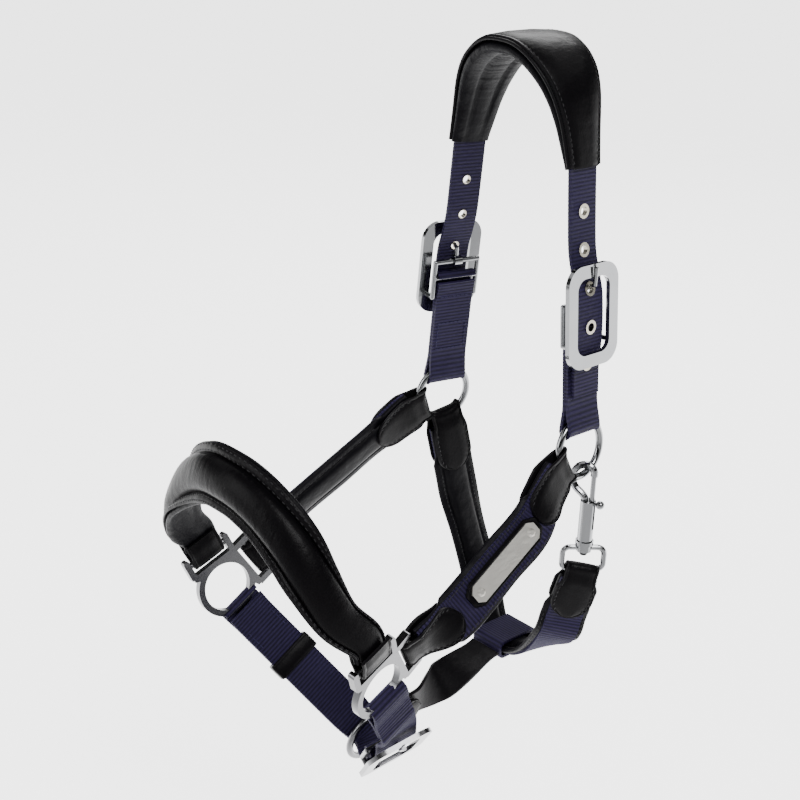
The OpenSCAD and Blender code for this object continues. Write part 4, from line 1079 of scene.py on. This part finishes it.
def build_keeper(line):
    """The leather keeper that slides on the off leg of the chin strap."""
    low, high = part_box("chin_keeper")
    middle = np.array((low + high) / 2) / MM
    s = line.s[np.argmin(np.linalg.norm(line.p - middle, axis=1))]
    _, t, w, o = (a[0] for a in line.at([s]))
    inner = np.array(rounded_box(WEB_W + 0.8, 2 * WEB_T + 0.8, 0.8))
    outer = np.array(rounded_box(WEB_W + 4.8, 2 * WEB_T + 4.6, 1.8))
    bulge = [(-6.3, 0.55), (-5.8, 0.9), (-4.6, 1.0), (-4.2, 0.93), (-3.8, 1.0), (3.8, 1.0),
             (4.2, 0.93), (4.6, 1.0), (5.8, 0.9), (6.3, 0.55)]
    rings = [inner] + [inner + (outer - inner) * k for _, k in bulge] + [inner]
    places = [-6.3] + [a for a, _ in bulge] + [6.3]
    m = len(inner)
    verts = [middle + a * t + x * w + y * o for a, ring in zip(places, rings) for x, y in ring]
    k = len(rings)
    faces = [[i * m + j, i * m + (j + 1) % m, ((i + 1) % k) * m + (j + 1) % m,
              ((i + 1) % k) * m + j] for i in range(k) for j in range(m)]
    keeper = make_object("chin_strap_keeper", verts, faces, BLACK, body="keeper", sharp=50)
    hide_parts("chin_keeper")


# --------------------------------------------------------------- jaw strap

def build_jaw():
    """The strap from the lead ring to the throat lash, and the webbing loop it ends in."""
    band = jaw_band()

    def outline(s):
        half = JAW_W / 2
        right = [(half - 0.8, -2), (half, -0.5), (half - 0.8, 0.9), (half * 0.62, 1.3),
                 (half * 0.5, 1.0), (half * 0.38, 2.6), (half * 0.2, 3.7)]
        return mirrored(right, [(0, 4.1)])

    strap = sweep("jaw_leather", band, band.stations(1.0, 8, band.length - 0.5), outline, BLACK,
                  sharp=60)
    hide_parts("jaw_strap")
    stitch_rows("jaw_stitches", BLACK_THREAD, [
        (band, e * JAW_W * 0.4, 1.2, 22, band.length - 8) for e in (-1, 1)])
    leather_tab("jaw_end", band, 24, JAW_W - 2, 20, ["jaw_tab"], ring_r=CHIN_RING_R, height=4.6)

    room_w, room_t = BACKING_W + 1.5, 2 * TAB_IN + 1
    outline_points = rounded_box(room_w + WEB_T, room_t + WEB_T, 4.0)
    outline_points.append(outline_points[0])
    middle = vec(THROAT_LOW)
    ring = [middle + vec(x, 0, z) for x, z in outline_points]
    route = Band(ring, [(0, 1, 0)] * len(ring), step=0.6, smooth=False)
    loop = ribbed("jaw_web_loop", route, JAW_W)
    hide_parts("jaw_loop")


# ------------------------------------------------------------- throat lash

def build_throat():
    """Padded leather inside, webbing outside, and a leather tab at each end."""
    band = throat_band()
    n = band.length

    def width(s):
        return min(BACKING_W, WEB_W - 2 + 0.8 * max(0, min(s - 30, n - 26 - s)))

    pad = sweep("throat_padding", band, band.stations(1.0, 8, n - 8),
                lambda s: channel_outline(width(s), WEB_T + 0.2 - TAB_IN, 1.4, TAB_IN - 0.1),
                LINING, sharp=70)
    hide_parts("throat_backing")
    outside = band.turned_over()
    line = Band(outside.point(outside.s, 0, TAB_IN - WEB_T / 2 - 0.1), outside.w, smooth=False)
    web = ribbed("throat_web", line, WEB_W - 4, 8, line.length - 8)
    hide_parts("throat_webbing")
    stitch_rows("throat_edge_stitches", BLACK_THREAD, [
        (band, e * PAD_STITCH_X, 1.5, 46, n - 42) for e in (-1, 1)] + [
        (outside, e * 14.8, TAB_IN - WEB_T - 0.1, 42, n - 46) for e in (-1, 1)])
    leather_tab("throat_off_end", band, TAB_L, WEB_W, RING_TAB_W, ["throat_off_tab"],
                ring_r=RING_R)
    leather_tab("throat_near_end", band.reversed(), 40, WEB_W, 24, ["throat_near_tab"],
                metal_r=2.0)


# ----------------------------------------------------------------- hardware

def finish_hardware():
    """Materials and soft edges for the metal that comes straight from the CAD model."""
    looks = {}
    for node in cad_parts:
        if "rivets" in node:
            looks[node] = (PLATE, 0.3)
        elif node in ("chin_buckle", "chin_ring", "chin_tongue"):  # chrome, given the fittings' duller, darker metal as a painted dark reflection
            looks[node] = (CAST, 0.5)
        elif "buckle" in node or "ring" in node or "snap" in node:
            looks[node] = (CHROME, 0.5)
        elif "tongue" in node:
            looks[node] = (CHROME, 0.2)
        elif "nose_fitting" in node:
            looks[node] = (CAST, 0.8)
    looks["crown_eyelets"] = (NICKEL, 0.15)
    looks["nameplate"] = (PLATE, 0.25)
    for node, (material, edge) in looks.items():
        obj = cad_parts[node]
        obj.data.materials.clear()
        obj.data.materials.append(material)
        bevel = obj.modifiers.new("soft_edges", "BEVEL")
        bevel.width = edge * MM
        bevel.segments = 3
        bevel.limit_method = "ANGLE"
        bevel.angle_limit = math.radians(40)
        bevel.harden_normals = True


# ------------------------------------------------------------ stage, camera

def build_stage():
    bpy.ops.mesh.primitive_plane_add(size=FLOOR_SIZE, location=(0, 0, FLOOR_Z))
    floor = bpy.context.object
    floor.name = "floor"
    floor.data.materials.append(floor_material())


def area_light(name, place, size, power):
    data = bpy.data.lights.new(name, "AREA")
    data.shape = "RECTANGLE"
    data.size, data.size_y = size
    data.energy = power
    light = bpy.data.objects.new(name, data)
    bpy.context.scene.collection.objects.link(light)
    light.location = place
    towards = Vector(LIGHT_AIM) - Vector(place)
    light.rotation_euler = towards.to_track_quat("-Z", "Y").to_euler()


def build_lights():
    """Three soft lights, in a room with a bright band at mid height for the metal to mirror."""
    for light in LIGHTS:
        area_light(*light)
    world = bpy.data.worlds.new("studio")
    bpy.context.scene.world = world
    world.use_nodes = True
    tree = world.node_tree
    heights = tree.nodes.new("ShaderNodeSeparateXYZ")
    tree.links.new(tree.nodes.new("ShaderNodeTexCoord").outputs["Generated"], heights.inputs[0])
    ramp = tree.nodes.new("ShaderNodeValToRGB")
    tree.links.new(heights.outputs["Z"], ramp.inputs[0])
    ramp.color_ramp.elements[0].color = (1, 1, 1, 1)
    ramp.color_ramp.elements[1].color = (0.02, 0.02, 0.02, 1)
    for place, tone in SKY_BANDS:
        ramp.color_ramp.elements.new(place).color = (tone, tone, tone, 1)
    background = tree.nodes["Background"]
    tree.links.new(ramp.outputs[0], background.inputs["Color"])
    background.inputs["Strength"].default_value = 0.9


def build_camera():
    """The photo's viewpoint: in front, to the near side and a little above."""
    data = bpy.data.cameras.new("camera")
    data.lens = CAMERA_LENS
    data.sensor_width = 36
    camera = bpy.data.objects.new("camera", data)
    bpy.context.scene.collection.objects.link(camera)
    right, back = unit(CAMERA_RIGHT), unit(CAMERA_BACK)
    up = np.cross(back, right)
    turn = Matrix(np.column_stack([right, up, back]).tolist()).to_4x4()
    camera.matrix_world = Matrix.Translation(Vector(CAMERA_AT)) @ turn
    bpy.context.scene.camera = camera


build_camera()
build_lights()
build_stage()
build_crown()
for side, word in SIDES:
    build_hanging(side, word)
    cheek = build_cheek(side, word)
    if side > 0:
        build_plate_patch(cheek)
build_noseband()
chin_line = chin_band()
build_chin_strap(chin_line)
build_chin_billet()
build_keeper(chin_line)
build_jaw()
build_throat()
finish_hardware()
